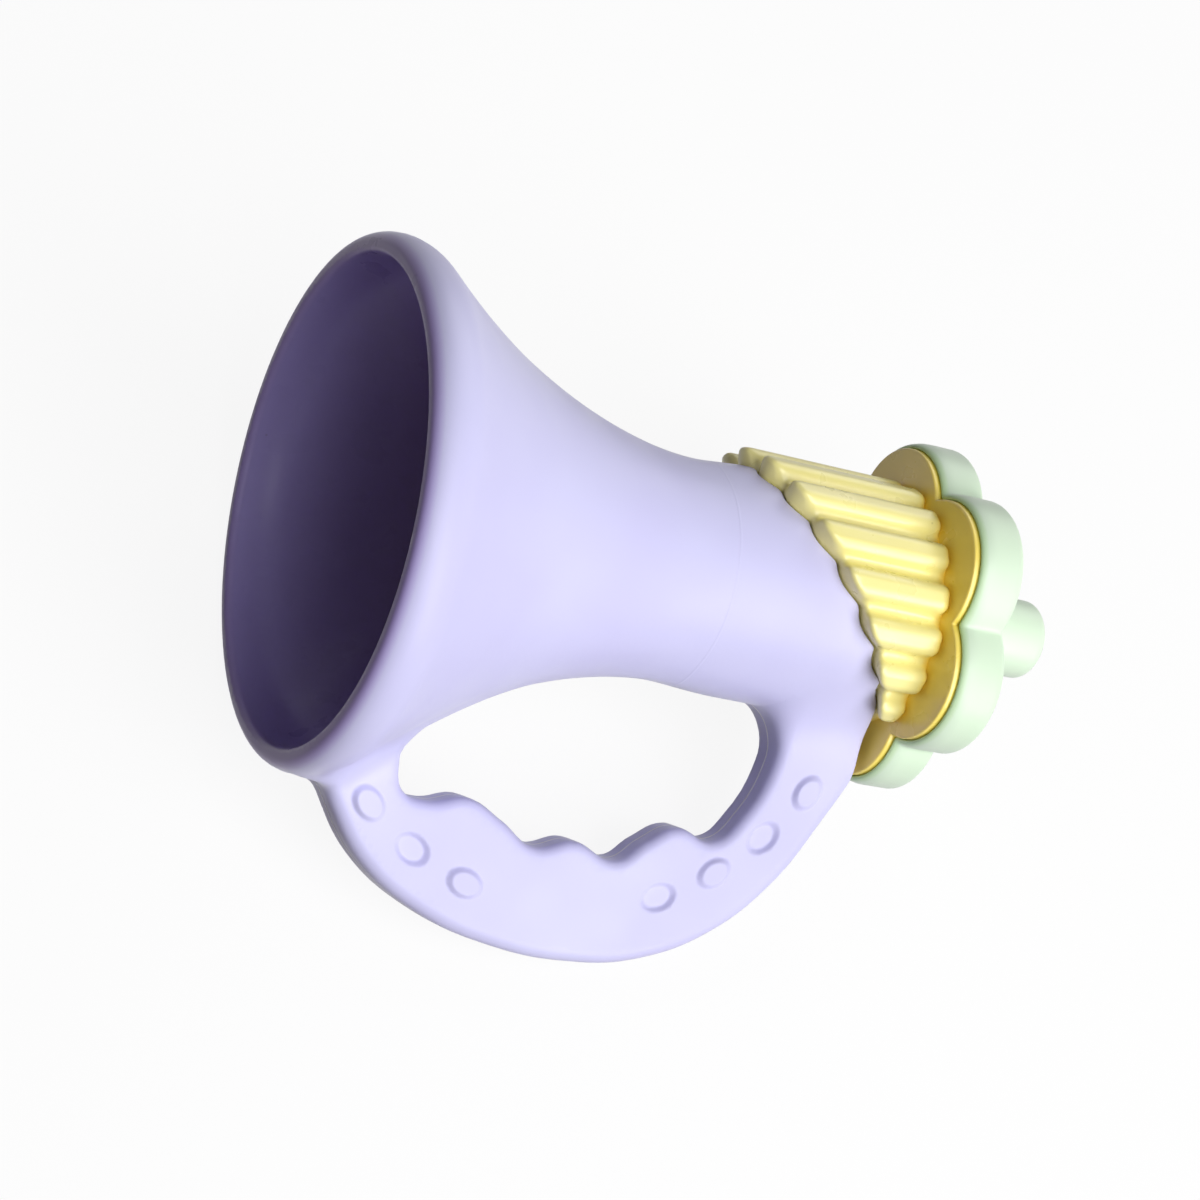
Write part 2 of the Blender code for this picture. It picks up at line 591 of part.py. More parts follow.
def lay_down():
    """Lay the trumpet on rim, petal and handle edge, then set it on the ground over the origin."""
    cap_reach = PETAL_CENTRE_RADIUS + CAP_PETAL_RADIUS
    cap_x = CAP_BACK_X - CAP_BACK_ROUND
    tilt = math.atan2(BELL_RADIUS - cap_reach, cap_x - RIM_DEPTH)
    axis_height = BELL_RADIUS - (HANDLE_LOWEST_X - RIM_DEPTH) * math.tan(tilt)
    round_reach = HANDLE_REACH - HANDLE_EDGE_ROUND
    round_depth = HALF_HANDLE - HANDLE_EDGE_ROUND
    drop = axis_height - HANDLE_EDGE_ROUND / math.cos(tilt)
    roll = math.asin(drop / math.hypot(round_reach, round_depth)) - math.atan2(round_depth, round_reach)
    rest.rotation_euler = (roll, tilt, 0.0)
    bpy.context.view_layer.update()
    depsgraph = bpy.context.evaluated_depsgraph_get()
    corners = []
    for piece in trumpet.objects:
        shown = piece.evaluated_get(depsgraph)
        corners += [shown.matrix_world @ vert.co for vert in shown.data.vertices]
    low = Vector([min(corner[i] for corner in corners) for i in range(3)])
    high = Vector([max(corner[i] for corner in corners) for i in range(3)])
    rest.location = (-(low.x + high.x) / 2, -(low.y + high.y) / 2, -low.z)
    bpy.context.view_layer.update()


clear_scene()
trumpet = new_collection("toy_trumpet")
cutters = new_collection("cutters")
rest = bpy.data.objects.new("rest_frame", None)
bpy.context.scene.collection.objects.link(rest)
make_horn_body()
make_ribbed_sleeve()
make_flower_cap()
make_reed_holder()
make_reed_unit()
lay_down()
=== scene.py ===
"""Looks of the toy trumpet: moulded skins over the CAD frame, plastics, light and the photo's camera.

Lengths are millimetres of the horn frame: +X along the bore from the mouth to the mouthpiece, +Y away
from the handle, +Z the near side. The horn and the ribbed grip are drawn as signed distances, negative
inside, and the spigot, the petal flange and the cap as lofts through rings round the bore.
"""

import json
import math

import bmesh
import bpy
import numpy as np
from mathutils import Matrix, Vector


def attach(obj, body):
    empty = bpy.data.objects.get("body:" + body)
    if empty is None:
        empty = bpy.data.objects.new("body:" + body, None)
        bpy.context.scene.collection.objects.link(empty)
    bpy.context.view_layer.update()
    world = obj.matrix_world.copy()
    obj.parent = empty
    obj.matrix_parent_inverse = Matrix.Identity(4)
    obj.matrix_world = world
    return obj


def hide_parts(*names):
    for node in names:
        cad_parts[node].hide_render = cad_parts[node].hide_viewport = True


MM = 0.001
TINY = 1e-9

# Horn
BELL_RADIUS = 45.1
MOUTH_RADIUS = 41.0
NECK_RADIUS = 19.7
HORN_WALL = 3.0
RIM_DEPTH = 3.6
RIM_ROUND = 2.4
RIM_FLAT = 0.8
MOUTH_EDGE_DEPTH = 1.5
CROWN_RADIUS = 8.2
FLARE_ANGLE = math.radians(38.2)
RIM_FLAT_RADIUS = BELL_RADIUS - RIM_ROUND - RIM_FLAT / 2
NECK_START_X = 69.0
MOUTH_BEND = 1.5
PAST_AXIS = -10.0
FLARE_STEPS = 80
BEND_STEPS = 24
TURNED_LOW = (-6.0, -1.0)
TURNED_HIGH = (150.0, 52.0)

# Handle
HALF_HANDLE = 4.5
HANDLE_SPREAD = 1.3
HANDLE_SPREAD_X = 90.0
OUTER_EDGE_ROUND = 2.5
HOLE_EDGE_ROUND = 2.0
EDGE_FILLET = 3.5
FACE_FILLET = 9.0
ROOT_FILLET = 11.0
FACE_FILLET_Z = (1.0, 7.0)
ROOT_FILLET_X = (55.0, 80.0)
OUTER_EDGE = (
    (8.7, -45.6), (17.3, -57.0), (30.0, -64.9), (44.9, -69.1), (59.4, -70.2), (73.1, -68.4),
    (87.3, -61.7), (97.1, -52.3), (105.9, -37.5), (109.7, -30.5), (116.0, -20.0),
)
OUTER_ROOT = ((116.0, -5.7), (8.7, -5.7), (8.7, -31.1))
FINGER_HOLE = (
    (92.6, -16.0), (93.3, -24.0), (93.0, -30.7), (89.0, -40.5), (83.8, -45.8), (76.1, -44.4),
    (70.4, -47.7), (65.2, -51.6), (56.7, -49.3), (49.1, -51.2), (42.4, -47.6), (35.3, -44.6),
    (28.0, -46.1), (23.2, -44.9), (21.5, -39.1),
)
HOLE_ROOT = ((21.5, -33.1), (41.2, -13.7))
CURVE_STEPS = 16
HANDLE_LOW = (0.0, -78.0)
HANDLE_HIGH = (122.0, 0.0)
OVAL_RING_CENTRE = (53.0, -6.4)
OVAL_RING_RADIUS = 54.8
OVAL_TURNS = (-131.0, -119.0, -107.0, -67.0, -55.0, -43.0, -31.0)
OVAL_LENGTH = 3.8
OVAL_WIDTH = 2.7
OVAL_HEIGHT = 0.8
OVAL_SLOPE = 1.0

# Seam, sleeve and cap
FIT_GAP = 0.3
SEAM_GAP = 0.2
SEAM_X = 93.6
SEAM_ANGLE = math.radians(39.5)
SEAM_WAVE = 0.8
SEAM_WAVE_ROUND = 0.2
SEAM_EDGE = 0.6
GRIP_EDGE = 1.1
SLEEVE_START_X = 66.0
SLEEVE_END_X = 117.5
SLEEVE_RADIUS = 16.4
SLEEVE_BORE_RADIUS = 12.0
SPIGOT_EDGE = 0.4
SPIGOT_OVERLAP = 0.8
HOLDER_SEAT_X = 99.7
HOLDER_SEAT_RADIUS = 13.6
FLANGE_FACE_X = 110.2
FLANGE_BACK_X = 112.7
FLANGE_EDGE = 0.35
FLANGE_CREASE = 0.3
FLANGE_INNER_RADIUS = 15.0
RIB_REACH = 7
RIB_PITCH = math.radians(20.0)
RIB_RADIUS = 23.9
RIB_HALF_CREST = 2.3
RIB_HALF_BASE = 3.3
RIB_ROUND = 1.6
RIB_LEAN = 0.6
VALLEY_RADIUS = 20.7
VALLEY_FILLET = 1.8
PETAL_COUNT = 6
PETAL_CENTRE_RADIUS = 17.5
FLANGE_PETAL_RADIUS = 12.85
FLANGE_GAP = 0.1
CAP_PETAL_RADIUS = 14.3
CAP_LIP_X = 111.3
CAP_BACK_X = 120.3
CAP_FRONT_ROUND = 3.2
CAP_BACK_ROUND = 1.4
CAP_CREASE = 1.0
CAP_LIP_ROUND = 0.3
MOUTHPIECE_RADIUS = 7.4
MOUTHPIECE_END_X = 144.4
MOUTHPIECE_END_ROUND = 2.2
MOUTHPIECE_ROOT_ROUND = 1.5
MOUTHPIECE_BORE_RADIUS = 4.0
MOUTHPIECE_BORE_EDGE = 0.4

# Skins
HALF_PETAL_STEPS = 18
FLAT_SHARES = (0.03, 0.2, 0.4, 0.6, 0.8, 0.97)
SPIGOT_ROUND_STEPS = 4
FINE_ROUND_STEPS = 5
CAP_FRONT_STEPS = 14
CAP_ROUND_STEPS = 8
END_ROUND_STEPS = 10
SPIGOT_STEPS = 20
SEAT_STEPS = 6
SLEEVE_BORE_STEPS = 12
FLANGE_STEPS = 2
CAP_SIDE_STEPS = 4
MOUTHPIECE_STEPS = 10
SOCKET_STEPS = 4
RECESS_STEPS = 3
TABLE_STEP = 0.25
HORN_LOW = (-2.0, -73.0, -47.0)
HORN_HIGH = (112.0, 47.0, 47.0)
HORN_STEP = 1.3
GRIP_LOW = (74.0, -26.0, -26.0)
GRIP_HIGH = (113.0, 26.0, 26.0)
GRIP_STEP = 0.8
SLOPE_REACH = 0.03
LEAST_SLOPE = 0.2
SETTLE_ROUNDS = 2
RELAX_ROUNDS = 4
RELAX_SHARE = 0.5
REFINE_ROUNDS = 2
REFINE_ANGLE = math.radians(15.0)
REFINE_LENGTH = 0.35

# Plastics, with screen colours from 0 to 255 and noise scales per metre
LAVENDER_TONES = ((210, 209, 244), (206, 204, 241))
INSIDE_TONES = ((200, 188, 252), (196, 183, 248))
YELLOW_TONES = ((250, 241, 158), (248, 237, 148))
GREEN_TONES = ((225, 245, 220), (220, 242, 214))
WHITE_TONES = ((230, 230, 226), (222, 222, 217))
# Painted shade: a darker violet on the rim's front face, which faces away from the key light
RIM_SHADE_COLOUR = (192, 174, 239)
# Painted shade: the bell's inside darkens with depth towards the throat
THROAT_SHADE_COLOUR = (120, 82, 124)
# Painted highlight: near white along the raised parting line on the handle
PARTING_HIGHLIGHT_COLOUR = (252, 252, 255)
# Painted bounce light: a fuller golden on the flange face, standing in for light bounced between the ribs
# and the flange
FLANGE_BOUNCE_COLOUR = (255, 226, 92)
# Painted shade: a darker, fuller green on the cap's lip where it closes round the flange
LIP_SHADE_COLOUR = (196, 234, 168)
RIM_SHADE_X = (0.2, 1.6)
THROAT_SHADE_X = (8.0, 45.0)
FLANGE_BOUNCE_LENGTH = 2.0
FLANGE_BOUNCE_SHARE = 0.9
LIP_SHADE_LENGTH = 1.2
LIP_SHADE_SHARE = 0.8
MOULD_LINE_HALF = 0.3
PARTING_START_X = (8.0, 9.0)
PARTING_BELOW_NECK = (1.5, 0.5)
PARTING_HEIGHT = 0.1
NECK_RING_HEIGHT = 0.03
LAVENDER_ROUGHNESS = 0.36
INSIDE_ROUGHNESS = 0.3
YELLOW_ROUGHNESS = 0.3
GREEN_ROUGHNESS = 0.33
WHITE_ROUGHNESS = 0.5
SOFT_GLOSS = 0.25
INSIDE_GLOSS = 0.16
YELLOW_GLOSS = 0.9
GREEN_GLOSS = 0.4
TONE_NOISE = (35.0, 2.0)
TONE_SPAN = (0.35, 0.65)
ROUGH_NOISE = 140.0
ROUGH_SPAN = (0.3, 0.7)
PLASTIC_ROUGH_SPREAD = 0.05
SKIN_NOISE = 900.0
SKIN_HEIGHT = 0.012
WARP_NOISE = (60.0, 1.0)
WARP_HEIGHT = 0.2
SPECK_CELLS = 75.0
SPECK_REACH = (0.012, 0.02)
SPECK_SHARE = 0.35
SPECK_SHADE = 0.55

# Metals
BRASS_TONES = ((220, 192, 120), (200, 165, 95))
BRONZE_TONES = ((231, 203, 159), (215, 182, 135))
BRASS_ROUGHNESS = 0.32
BRONZE_ROUGHNESS = 0.26
TARNISH_NOISE = 500.0
TARNISH_SPAN = (0.4, 0.7)
STRIP_LINES = (300.0, 300.0, 6000.0)
STRIP_LINE_HEIGHT = 0.005
METAL_ROUGH_SPREAD = 0.08

# Photo's camera in the horn frame
CAMERA_PLACE = (-148.939, -6.568, 397.639)
CAMERA_RIGHT = (0.874347, 0.190713, 0.446257)
CAMERA_DOWN = (0.168752, -0.981643, 0.088883)
CAMERA_LENS = 77.445
SENSOR_WIDTH = 36.0
CLIP_START = 0.01

# Floor and light, in metres and watts
FLOOR_HALF = 3.0
FLOOR_ROUGHNESS = 0.9
FLOOR_BOUNCE = (0.14, 0.11, 0.14, 1.0)
FLOOR_PALE = (0.98, 0.98, 0.98, 1.0)
FLOOR_GLOW = 0.9
WORLD_FILL = (0.025, 0.02, 0.025, 1.0)
BACKGROUND = (0.91, 0.91, 0.91, 1.0)
LIT_HEIGHT = 0.04
SOFTBOXES = {
    "key": {"aim": (0.27, -0.58, 0.77), "distance": 1.3, "size": 1.15, "power": 18.0},
    "low_fill": {"aim": (0.52, -0.8, 0.28), "distance": 1.2, "size": 0.55, "power": 4.4},
    "back_fill": {"aim": (0.5, 0.72, 0.42), "distance": 1.3, "size": 0.85, "power": 3.6},
}

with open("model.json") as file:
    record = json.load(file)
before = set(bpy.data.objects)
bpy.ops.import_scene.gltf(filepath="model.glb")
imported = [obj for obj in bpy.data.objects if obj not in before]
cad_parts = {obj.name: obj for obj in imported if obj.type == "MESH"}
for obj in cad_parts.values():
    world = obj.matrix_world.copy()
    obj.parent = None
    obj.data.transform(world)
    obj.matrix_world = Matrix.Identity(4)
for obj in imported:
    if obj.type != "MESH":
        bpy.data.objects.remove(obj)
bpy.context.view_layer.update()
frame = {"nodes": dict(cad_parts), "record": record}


def horn_matrix():
    """Row frame from the horn frame, found from the rim's mount and a reed's hinge."""
    mount = frame["record"]["mounts"][0]
    hinge = frame["record"]["behaviour"]["joints"][0]
    bore = -Vector(mount["axis"])
    near = Vector(hinge["axis"])
    away = near.cross(bore)
    origin = Vector(mount["pos_m"]) - away * (RIM_FLAT_RADIUS * MM)
    turned = Matrix((bore, away, near)).transposed().to_4x4()
    return Matrix.Translation(origin) @ turned


HORN = horn_matrix()


# Signed distances

def smooth_min(a, b, reach):
    share = np.maximum(reach - np.abs(a - b), 0.0) / reach
    return np.minimum(a, b) - share * share * reach / 4


def smooth_max(a, b, reach):
    return -smooth_min(-a, -b, reach)


def rounded_both(a, b, radius):
    """Distance to what lies inside both, with a round edge where they meet."""
    a = a + radius
    b = b + radius
    return np.hypot(np.maximum(a, 0.0), np.maximum(b, 0.0)) + np.minimum(np.maximum(a, b), 0.0) - radius


def eased(value, low, high):
    """Share from 0 to 1 of the way from low to high, level at both ends."""
    share = np.clip((value - low) / (high - low), 0.0, 1.0)
    return share * share * (3.0 - 2.0 * share)


def outline_distance(corners, u, v):
    """Signed distance to a closed outline in its plane."""
    nearest = np.full(u.shape, np.inf)
    inside = np.zeros(u.shape, bool)
    for (u0, v0), (u1, v1) in zip(corners, np.roll(corners, -1, axis=0)):
        du, dv = u1 - u0, v1 - v0
        along = np.clip(((u - u0) * du + (v - v0) * dv) / max(du * du + dv * dv, TINY), 0.0, 1.0)
        nearest = np.minimum(nearest, (u - u0 - along * du) ** 2 + (v - v0 - along * dv) ** 2)
        if dv:
            inside ^= ((v0 > v) != (v1 > v)) & (u < u0 + (v - v0) * du / dv)
    return np.where(inside, -1.0, 1.0) * np.sqrt(nearest)


class Table:
    """Values on a square grid in a plane, read back with a smooth cubic."""

    def __init__(self, distance, low, high):
        self.low = low
        counts = [int((b - a) / TABLE_STEP) + 2 for a, b in zip(low, high)]
        u, v = np.meshgrid(*[a + TABLE_STEP * np.arange(n) for a, n in zip(low, counts)], indexing="ij")
        self.values = distance(u, v)

    def weights(self, place, axis):
        """Grid index below a place, kept off the edges, and the weights of the four points round it."""
        steps = np.clip((place - self.low[axis]) / TABLE_STEP, 1.0, self.values.shape[axis] - 3.001)
        index = steps.astype(int)
        s = steps - index
        before = -0.5 * s ** 3 + s ** 2 - 0.5 * s
        at = 1.5 * s ** 3 - 2.5 * s ** 2 + 1.0
        after = -1.5 * s ** 3 + 2.0 * s ** 2 + 0.5 * s
        return index, (before, at, after, 1.0 - before - at - after)

    def __call__(self, u, v):
        i, across = self.weights(u, 0)
        j, along = self.weights(v, 1)
        total = 0.0
        for a in range(4):
            row = 0.0
            for b in range(4):
                row = row + along[b] * self.values[i + a - 1, j + b - 1]
            total = total + across[a] * row
        return total


def arc(centre, semi_u, semi_v, start, end, steps=24):
    """Points on an ellipse, by angles in degrees."""
    angles = np.radians(np.linspace(start, end, steps + 1))
    return np.column_stack((centre[0] + semi_u * np.cos(angles), centre[1] + semi_v * np.sin(angles)))


def flare(offset, end_x):
    """Outer horn curve moved inwards by offset, from end_x to the tangent at the crown."""
    start_x = RIM_DEPTH + CROWN_RADIUS * math.sin(FLARE_ANGLE)
    start_r = BELL_RADIUS - CROWN_RADIUS * (1 - math.cos(FLARE_ANGLE))
    length = 2 * (start_r - NECK_RADIUS) / math.tan(FLARE_ANGLE)
    share = np.linspace(0.0, 1.0, FLARE_STEPS + 1)
    radius = NECK_RADIUS + (start_r - NECK_RADIUS) * share ** 2
    radius -= offset * np.hypot(1.0, math.tan(FLARE_ANGLE) * share)
    curve = np.column_stack((start_x + length * (1 - share), radius))
    return np.vstack(([[end_x, NECK_RADIUS - offset]], curve))


def horn_outside():
    """Closed outline of the horn's outside, from beyond the bore's axis."""
    crown = arc((RIM_DEPTH, BELL_RADIUS - CROWN_RADIUS), CROWN_RADIUS, CROWN_RADIUS,
                90 - math.degrees(FLARE_ANGLE), 90)
    nose = arc((RIM_DEPTH, BELL_RADIUS - RIM_ROUND), RIM_DEPTH, RIM_ROUND, 90, 180)
    end_x = MOUTHPIECE_END_X
    first = [[end_x, PAST_AXIS]]
    last = [[0.0, PAST_AXIS]]
    return np.vstack((first, flare(0.0, end_x), crown[1:], nose[1:], last))


def horn_inside():
    """Closed outline of the space inside the horn, out past the mouth."""
    rim_edge = BELL_RADIUS - RIM_ROUND - RIM_FLAT
    end_x = MOUTHPIECE_END_X
    wall = flare(HORN_WALL, end_x)
    wall = wall[wall[:, 1] < MOUTH_RADIUS - MOUTH_BEND]
    slope = (wall[-1] - wall[-2]) / (wall[-1, 0] - wall[-2, 0])
    corner = wall[-1] + slope * (MOUTH_RADIUS - wall[-1, 1]) / slope[1]
    start, end = wall[-1], np.array((MOUTH_EDGE_DEPTH, MOUTH_RADIUS))
    share = np.linspace(0.0, 1.0, BEND_STEPS + 1)[1:, None]
    bend = start * (1 - share) ** 2 + 2 * corner * share * (1 - share) + end * share ** 2
    lip = arc((MOUTH_EDGE_DEPTH, rim_edge), MOUTH_EDGE_DEPTH, rim_edge - MOUTH_RADIUS, 270, 180)
    out = [[-3 * RIM_DEPTH, rim_edge], [-3 * RIM_DEPTH, PAST_AXIS]]
    return np.vstack(([[end_x, PAST_AXIS]], wall, bend, lip[1:], out))


def drawn_outline(shown, hidden):
    """Points of a closed curve: smooth through the shown points, straight between the hidden ones."""
    curve = bpy.data.curves.new("outline", 'CURVE')
    curve.dimensions = '2D'
    spline = curve.splines.new('BEZIER')
    spline.use_cyclic_u = True
    spline.resolution_u = CURVE_STEPS
    points = list(shown) + list(hidden)
    spline.bezier_points.add(len(points) - 1)
    for i, (point, place) in enumerate(zip(spline.bezier_points, points)):
        kind = 'AUTO' if 0 < i < len(shown) - 1 else 'VECTOR'
        point.co = (*place, 0.0)
        point.handle_left_type = kind
        point.handle_right_type = kind
    drawn = bpy.data.objects.new("outline", curve)
    bpy.context.scene.collection.objects.link(drawn)
    bpy.context.view_layer.update()
    mesh = bpy.data.meshes.new_from_object(drawn.evaluated_get(bpy.context.evaluated_depsgraph_get()))
    corners = np.array([vert.co[:2] for vert in mesh.vertices])
    bpy.data.objects.remove(drawn, do_unlink=True)
    bpy.data.meshes.remove(mesh)
    bpy.data.curves.remove(curve)
    return corners


def handle_table(shown, hidden):
    corners = drawn_outline(shown, hidden)
    return Table(lambda u, v: outline_distance(corners, u, v), HANDLE_LOW, HANDLE_HIGH)


def oval_depths(u, v):
    """Distance inside each of the plain ovals on the handle's near face, negative outside."""
    u = u - OVAL_RING_CENTRE[0]
    v = v - OVAL_RING_CENTRE[1]
    for turn in np.radians(OVAL_TURNS):
        along = v * math.cos(turn) - u * math.sin(turn)
        across = u * math.cos(turn) + v * math.sin(turn) - OVAL_RING_RADIUS
        yield OVAL_WIDTH * (1.0 - np.hypot(along / OVAL_LENGTH, across / OVAL_WIDTH))


def oval_height(u, v):
    """Height of the ovals, by turns raised and sunken."""
    total = np.zeros(u.shape)
    height = OVAL_HEIGHT
    for depth in oval_depths(u, v):
        total += height * eased(depth, 0.0, OVAL_SLOPE)
        height = -height
    return total


def by_ovals(points):
    """Where the skin is made finer for the ovals' edges."""
    x, y, z = points.T
    near = np.zeros(x.shape, bool)
    for depth in oval_depths(x, y):
        near |= np.abs(depth - OVAL_SLOPE / 2) < OVAL_SLOPE
    return near & (z > 0.0)


def turned_table(profile):
    return Table(lambda u, v: outline_distance(profile, u, v), TURNED_LOW, TURNED_HIGH)


OUTSIDE = turned_table(horn_outside())
INSIDE = turned_table(horn_inside())
HANDLE = handle_table(OUTER_EDGE, OUTER_ROOT)
HOLE = handle_table(FINGER_HOLE, HOLE_ROOT)
OVALS = Table(oval_height, HANDLE_LOW, HANDLE_HIGH)


def seam_distance(x, y, z):
    """Signed distance from the scalloped seam, negative ahead of it. It is radial outside the neck."""
    radius = np.hypot(y, z)
    angle = np.arctan2(z, y)
    level = y * np.minimum(1.0, NECK_RADIUS / np.maximum(radius, 1.0))
    scallop = np.hypot(np.cos(math.pi * angle / RIB_PITCH), SEAM_WAVE_ROUND)
    reach = np.clip((RIB_REACH + 0.5) - np.abs(angle) / RIB_PITCH, 0.0, 1.0)
    wave = SEAM_WAVE * (2.0 * scallop - 1.0) * reach * np.clip(radius / NECK_RADIUS, 0.0, 1.0)
    lean = RIB_LEAN * np.clip((radius - NECK_RADIUS) / (RIB_RADIUS - NECK_RADIUS), 0.0, 1.0)
    return (x - SEAM_X + math.tan(SEAM_ANGLE) * level + wave + lean) * math.cos(SEAM_ANGLE)


def horn_field(points):
    """Bell, neck and handle with their fillets, cut at the seam."""
    x, y, z = points.T
    radius = np.hypot(y, z)
    half = HALF_HANDLE + HANDLE_SPREAD * eased(x, HANDLE_SPREAD_X, FLANGE_FACE_X) + OVALS(x, y) * (z > 0.0)
    deep = np.abs(z) - half
    plate = rounded_both(HANDLE(x, y), deep, OUTER_EDGE_ROUND)
    plate = np.maximum(plate, rounded_both(-HOLE(x, y), deep, HOLE_EDGE_ROUND))
    fillet = EDGE_FILLET + (FACE_FILLET - EDGE_FILLET) * eased(np.abs(z), *FACE_FILLET_Z)
    fillet += (ROOT_FILLET - fillet) * eased(x, *ROOT_FILLET_X)
    body = smooth_min(OUTSIDE(x, radius), plate, fillet)
    body = np.maximum(body, -INSIDE(x, radius))
    body = smooth_max(body, seam_distance(x, y, z) + SEAM_GAP / 2, SEAM_EDGE)
    return smooth_max(body, x - FLANGE_FACE_X + FIT_GAP, SEAM_EDGE)


def within_bell(points):
    """Where the horn's skin is the wall of its mouth and throat."""
    x, y, z = points.T
    radius = np.hypot(y, z)
    return np.abs(INSIDE(x, radius)) < HORN_WALL / 2


def rib_distance(x, radius, off):
    """Signed distance to a rib, by the angle off its middle."""
    across = np.abs(radius * np.sin(off))
    out = radius * np.cos(off)
    taper = (RIB_HALF_BASE - RIB_HALF_CREST) / (RIB_RADIUS - NECK_RADIUS)
    side = (across - RIB_HALF_CREST - taper * (RIB_RADIUS - out)) / math.hypot(1.0, taper) + RIB_ROUND
    crest = out - RIB_RADIUS + RIB_ROUND
    back = x - FLANGE_FACE_X + RIB_ROUND
    parts = (np.maximum(side, 0.0), np.maximum(crest, 0.0), np.maximum(back, 0.0))
    rounded = np.sqrt(sum(part * part for part in parts))
    return rounded + np.minimum(np.maximum(np.maximum(side, crest), back), 0.0) - RIB_ROUND


def grip_field(points):
    """Drum with its ribs, down to within the spigot's wall."""
    x, y, z = points.T
    radius = np.hypot(y, z)
    angle = np.arctan2(z, y)
    grip = np.maximum(radius - VALLEY_RADIUS, x - FLANGE_FACE_X - 2 * FLANGE_EDGE)
    rib = np.clip(np.floor(angle / RIB_PITCH), -RIB_REACH, RIB_REACH - 1)
    for nearby in (rib, rib + 1):
        grip = smooth_min(grip, rib_distance(x, radius, angle - nearby * RIB_PITCH), VALLEY_FILLET)
    grip = smooth_max(grip, SEAM_GAP / 2 - seam_distance(x, y, z), GRIP_EDGE)
    return np.maximum(grip, SLEEVE_RADIUS - SPIGOT_OVERLAP - radius)


# Lofts

def ring_angles():
    """Angles round the bore, from the first petal's middle, closer together towards the creases."""
    half = math.pi / PETAL_COUNT
    share = np.linspace(0.0, 1.0, HALF_PETAL_STEPS + 1)
    rise = half * (1.0 - share[::-1] ** 2)
    petal = np.concatenate((rise, 2 * half - rise[-2:0:-1]))
    return np.concatenate([petal + 2 * half * k for k in range(PETAL_COUNT)])


ANGLES = ring_angles()


def petal_reach(petal, crease):
    """Distances from the bore to an outline of six round petals with rounded creases between them."""
    half = math.pi / PETAL_COUNT
    side = PETAL_CENTRE_RADIUS * math.sin(half)
    along = PETAL_CENTRE_RADIUS * math.cos(half)
    off = np.abs((ANGLES + half) % (2 * half) - half)
    reach = PETAL_CENTRE_RADIUS * np.cos(off)
    reach += np.sqrt(petal ** 2 - (PETAL_CENTRE_RADIUS * np.sin(off)) ** 2)
    centre = along + math.sqrt((petal + crease) ** 2 - side ** 2)
    share = petal / (petal + crease)
    touch = math.atan2(side * (1.0 - share), along + (centre - along) * share)
    turn = half - off
    fillet = centre * np.cos(turn) - np.sqrt(np.maximum(crease ** 2 - (centre * np.sin(turn)) ** 2, 0.0))
    return np.where(turn < touch, fillet, reach)


class Loft:
    """Rings round the bore, each a place along it and a distance at every angle, closed on themselves."""

    def __init__(self, crease):
        self.crease = crease
        self.rings = []

    def petals(self, section):
        """Six-petal rings along a section of places and petal radii."""
        for place, petal in section:
            self.rings.append((place, petal_reach(petal, self.crease)))

    def rounds(self, section):
        """Round rings along a section of places and radii."""
        for place, radius in section:
            self.rings.append((place, np.full(ANGLES.shape, radius)))

    def flat_to(self, reach):
        """Rings across a flat face, from the last ring to a reach."""
        place, start = self.rings[-1]
        for share in FLAT_SHARES:
            self.rings.append((place, start + share * (reach - start)))

    def skin(self):
        """Points and faces, with no normals of their own."""
        across, up = np.cos(ANGLES), np.sin(ANGLES)
        points = [np.column_stack((np.full(ANGLES.shape, place), reach * across, reach * up))
                  for place, reach in self.rings]
        count = len(ANGLES)
        index = np.arange(len(points) * count).reshape(len(points), count)
        after = np.roll(index, -1, axis=0)
        quads = np.stack((index, np.roll(index, -1, axis=1), np.roll(after, -1, axis=1), after), axis=-1)
        return np.concatenate(points), quads.reshape(-1, 4)


def round_edge(centre, radius, start, end, steps):
    """Section of a round edge, by angles in degrees."""
    return arc(centre, radius, radius, start, end, steps)


def along_bore(start, end, radius, steps):
    return np.column_stack((np.linspace(start, end, steps + 1), np.full(steps + 1, radius)))


def spigot_loft():
    """Stepped tube that goes into the neck and the cap and holds the reed unit."""
    loft = Loft(FLANGE_CREASE)
    outer = SLEEVE_RADIUS - SPIGOT_EDGE
    inner = SLEEVE_BORE_RADIUS + SPIGOT_EDGE
    start = SLEEVE_START_X + SPIGOT_EDGE
    loft.rounds(round_edge((start, inner), SPIGOT_EDGE, 270, 180, SPIGOT_ROUND_STEPS))
    loft.flat_to(np.full(ANGLES.shape, outer))
    loft.rounds(round_edge((start, outer), SPIGOT_EDGE, 180, 90, SPIGOT_ROUND_STEPS))
    loft.rounds(along_bore(start, SLEEVE_END_X, SLEEVE_RADIUS, SPIGOT_STEPS)[1:])
    loft.flat_to(np.full(ANGLES.shape, HOLDER_SEAT_RADIUS))
    loft.rounds(along_bore(SLEEVE_END_X, HOLDER_SEAT_X, HOLDER_SEAT_RADIUS, SEAT_STEPS))
    loft.flat_to(np.full(ANGLES.shape, SLEEVE_BORE_RADIUS))
    loft.rounds(along_bore(HOLDER_SEAT_X, start, SLEEVE_BORE_RADIUS, SLEEVE_BORE_STEPS)[:-1])
    return loft


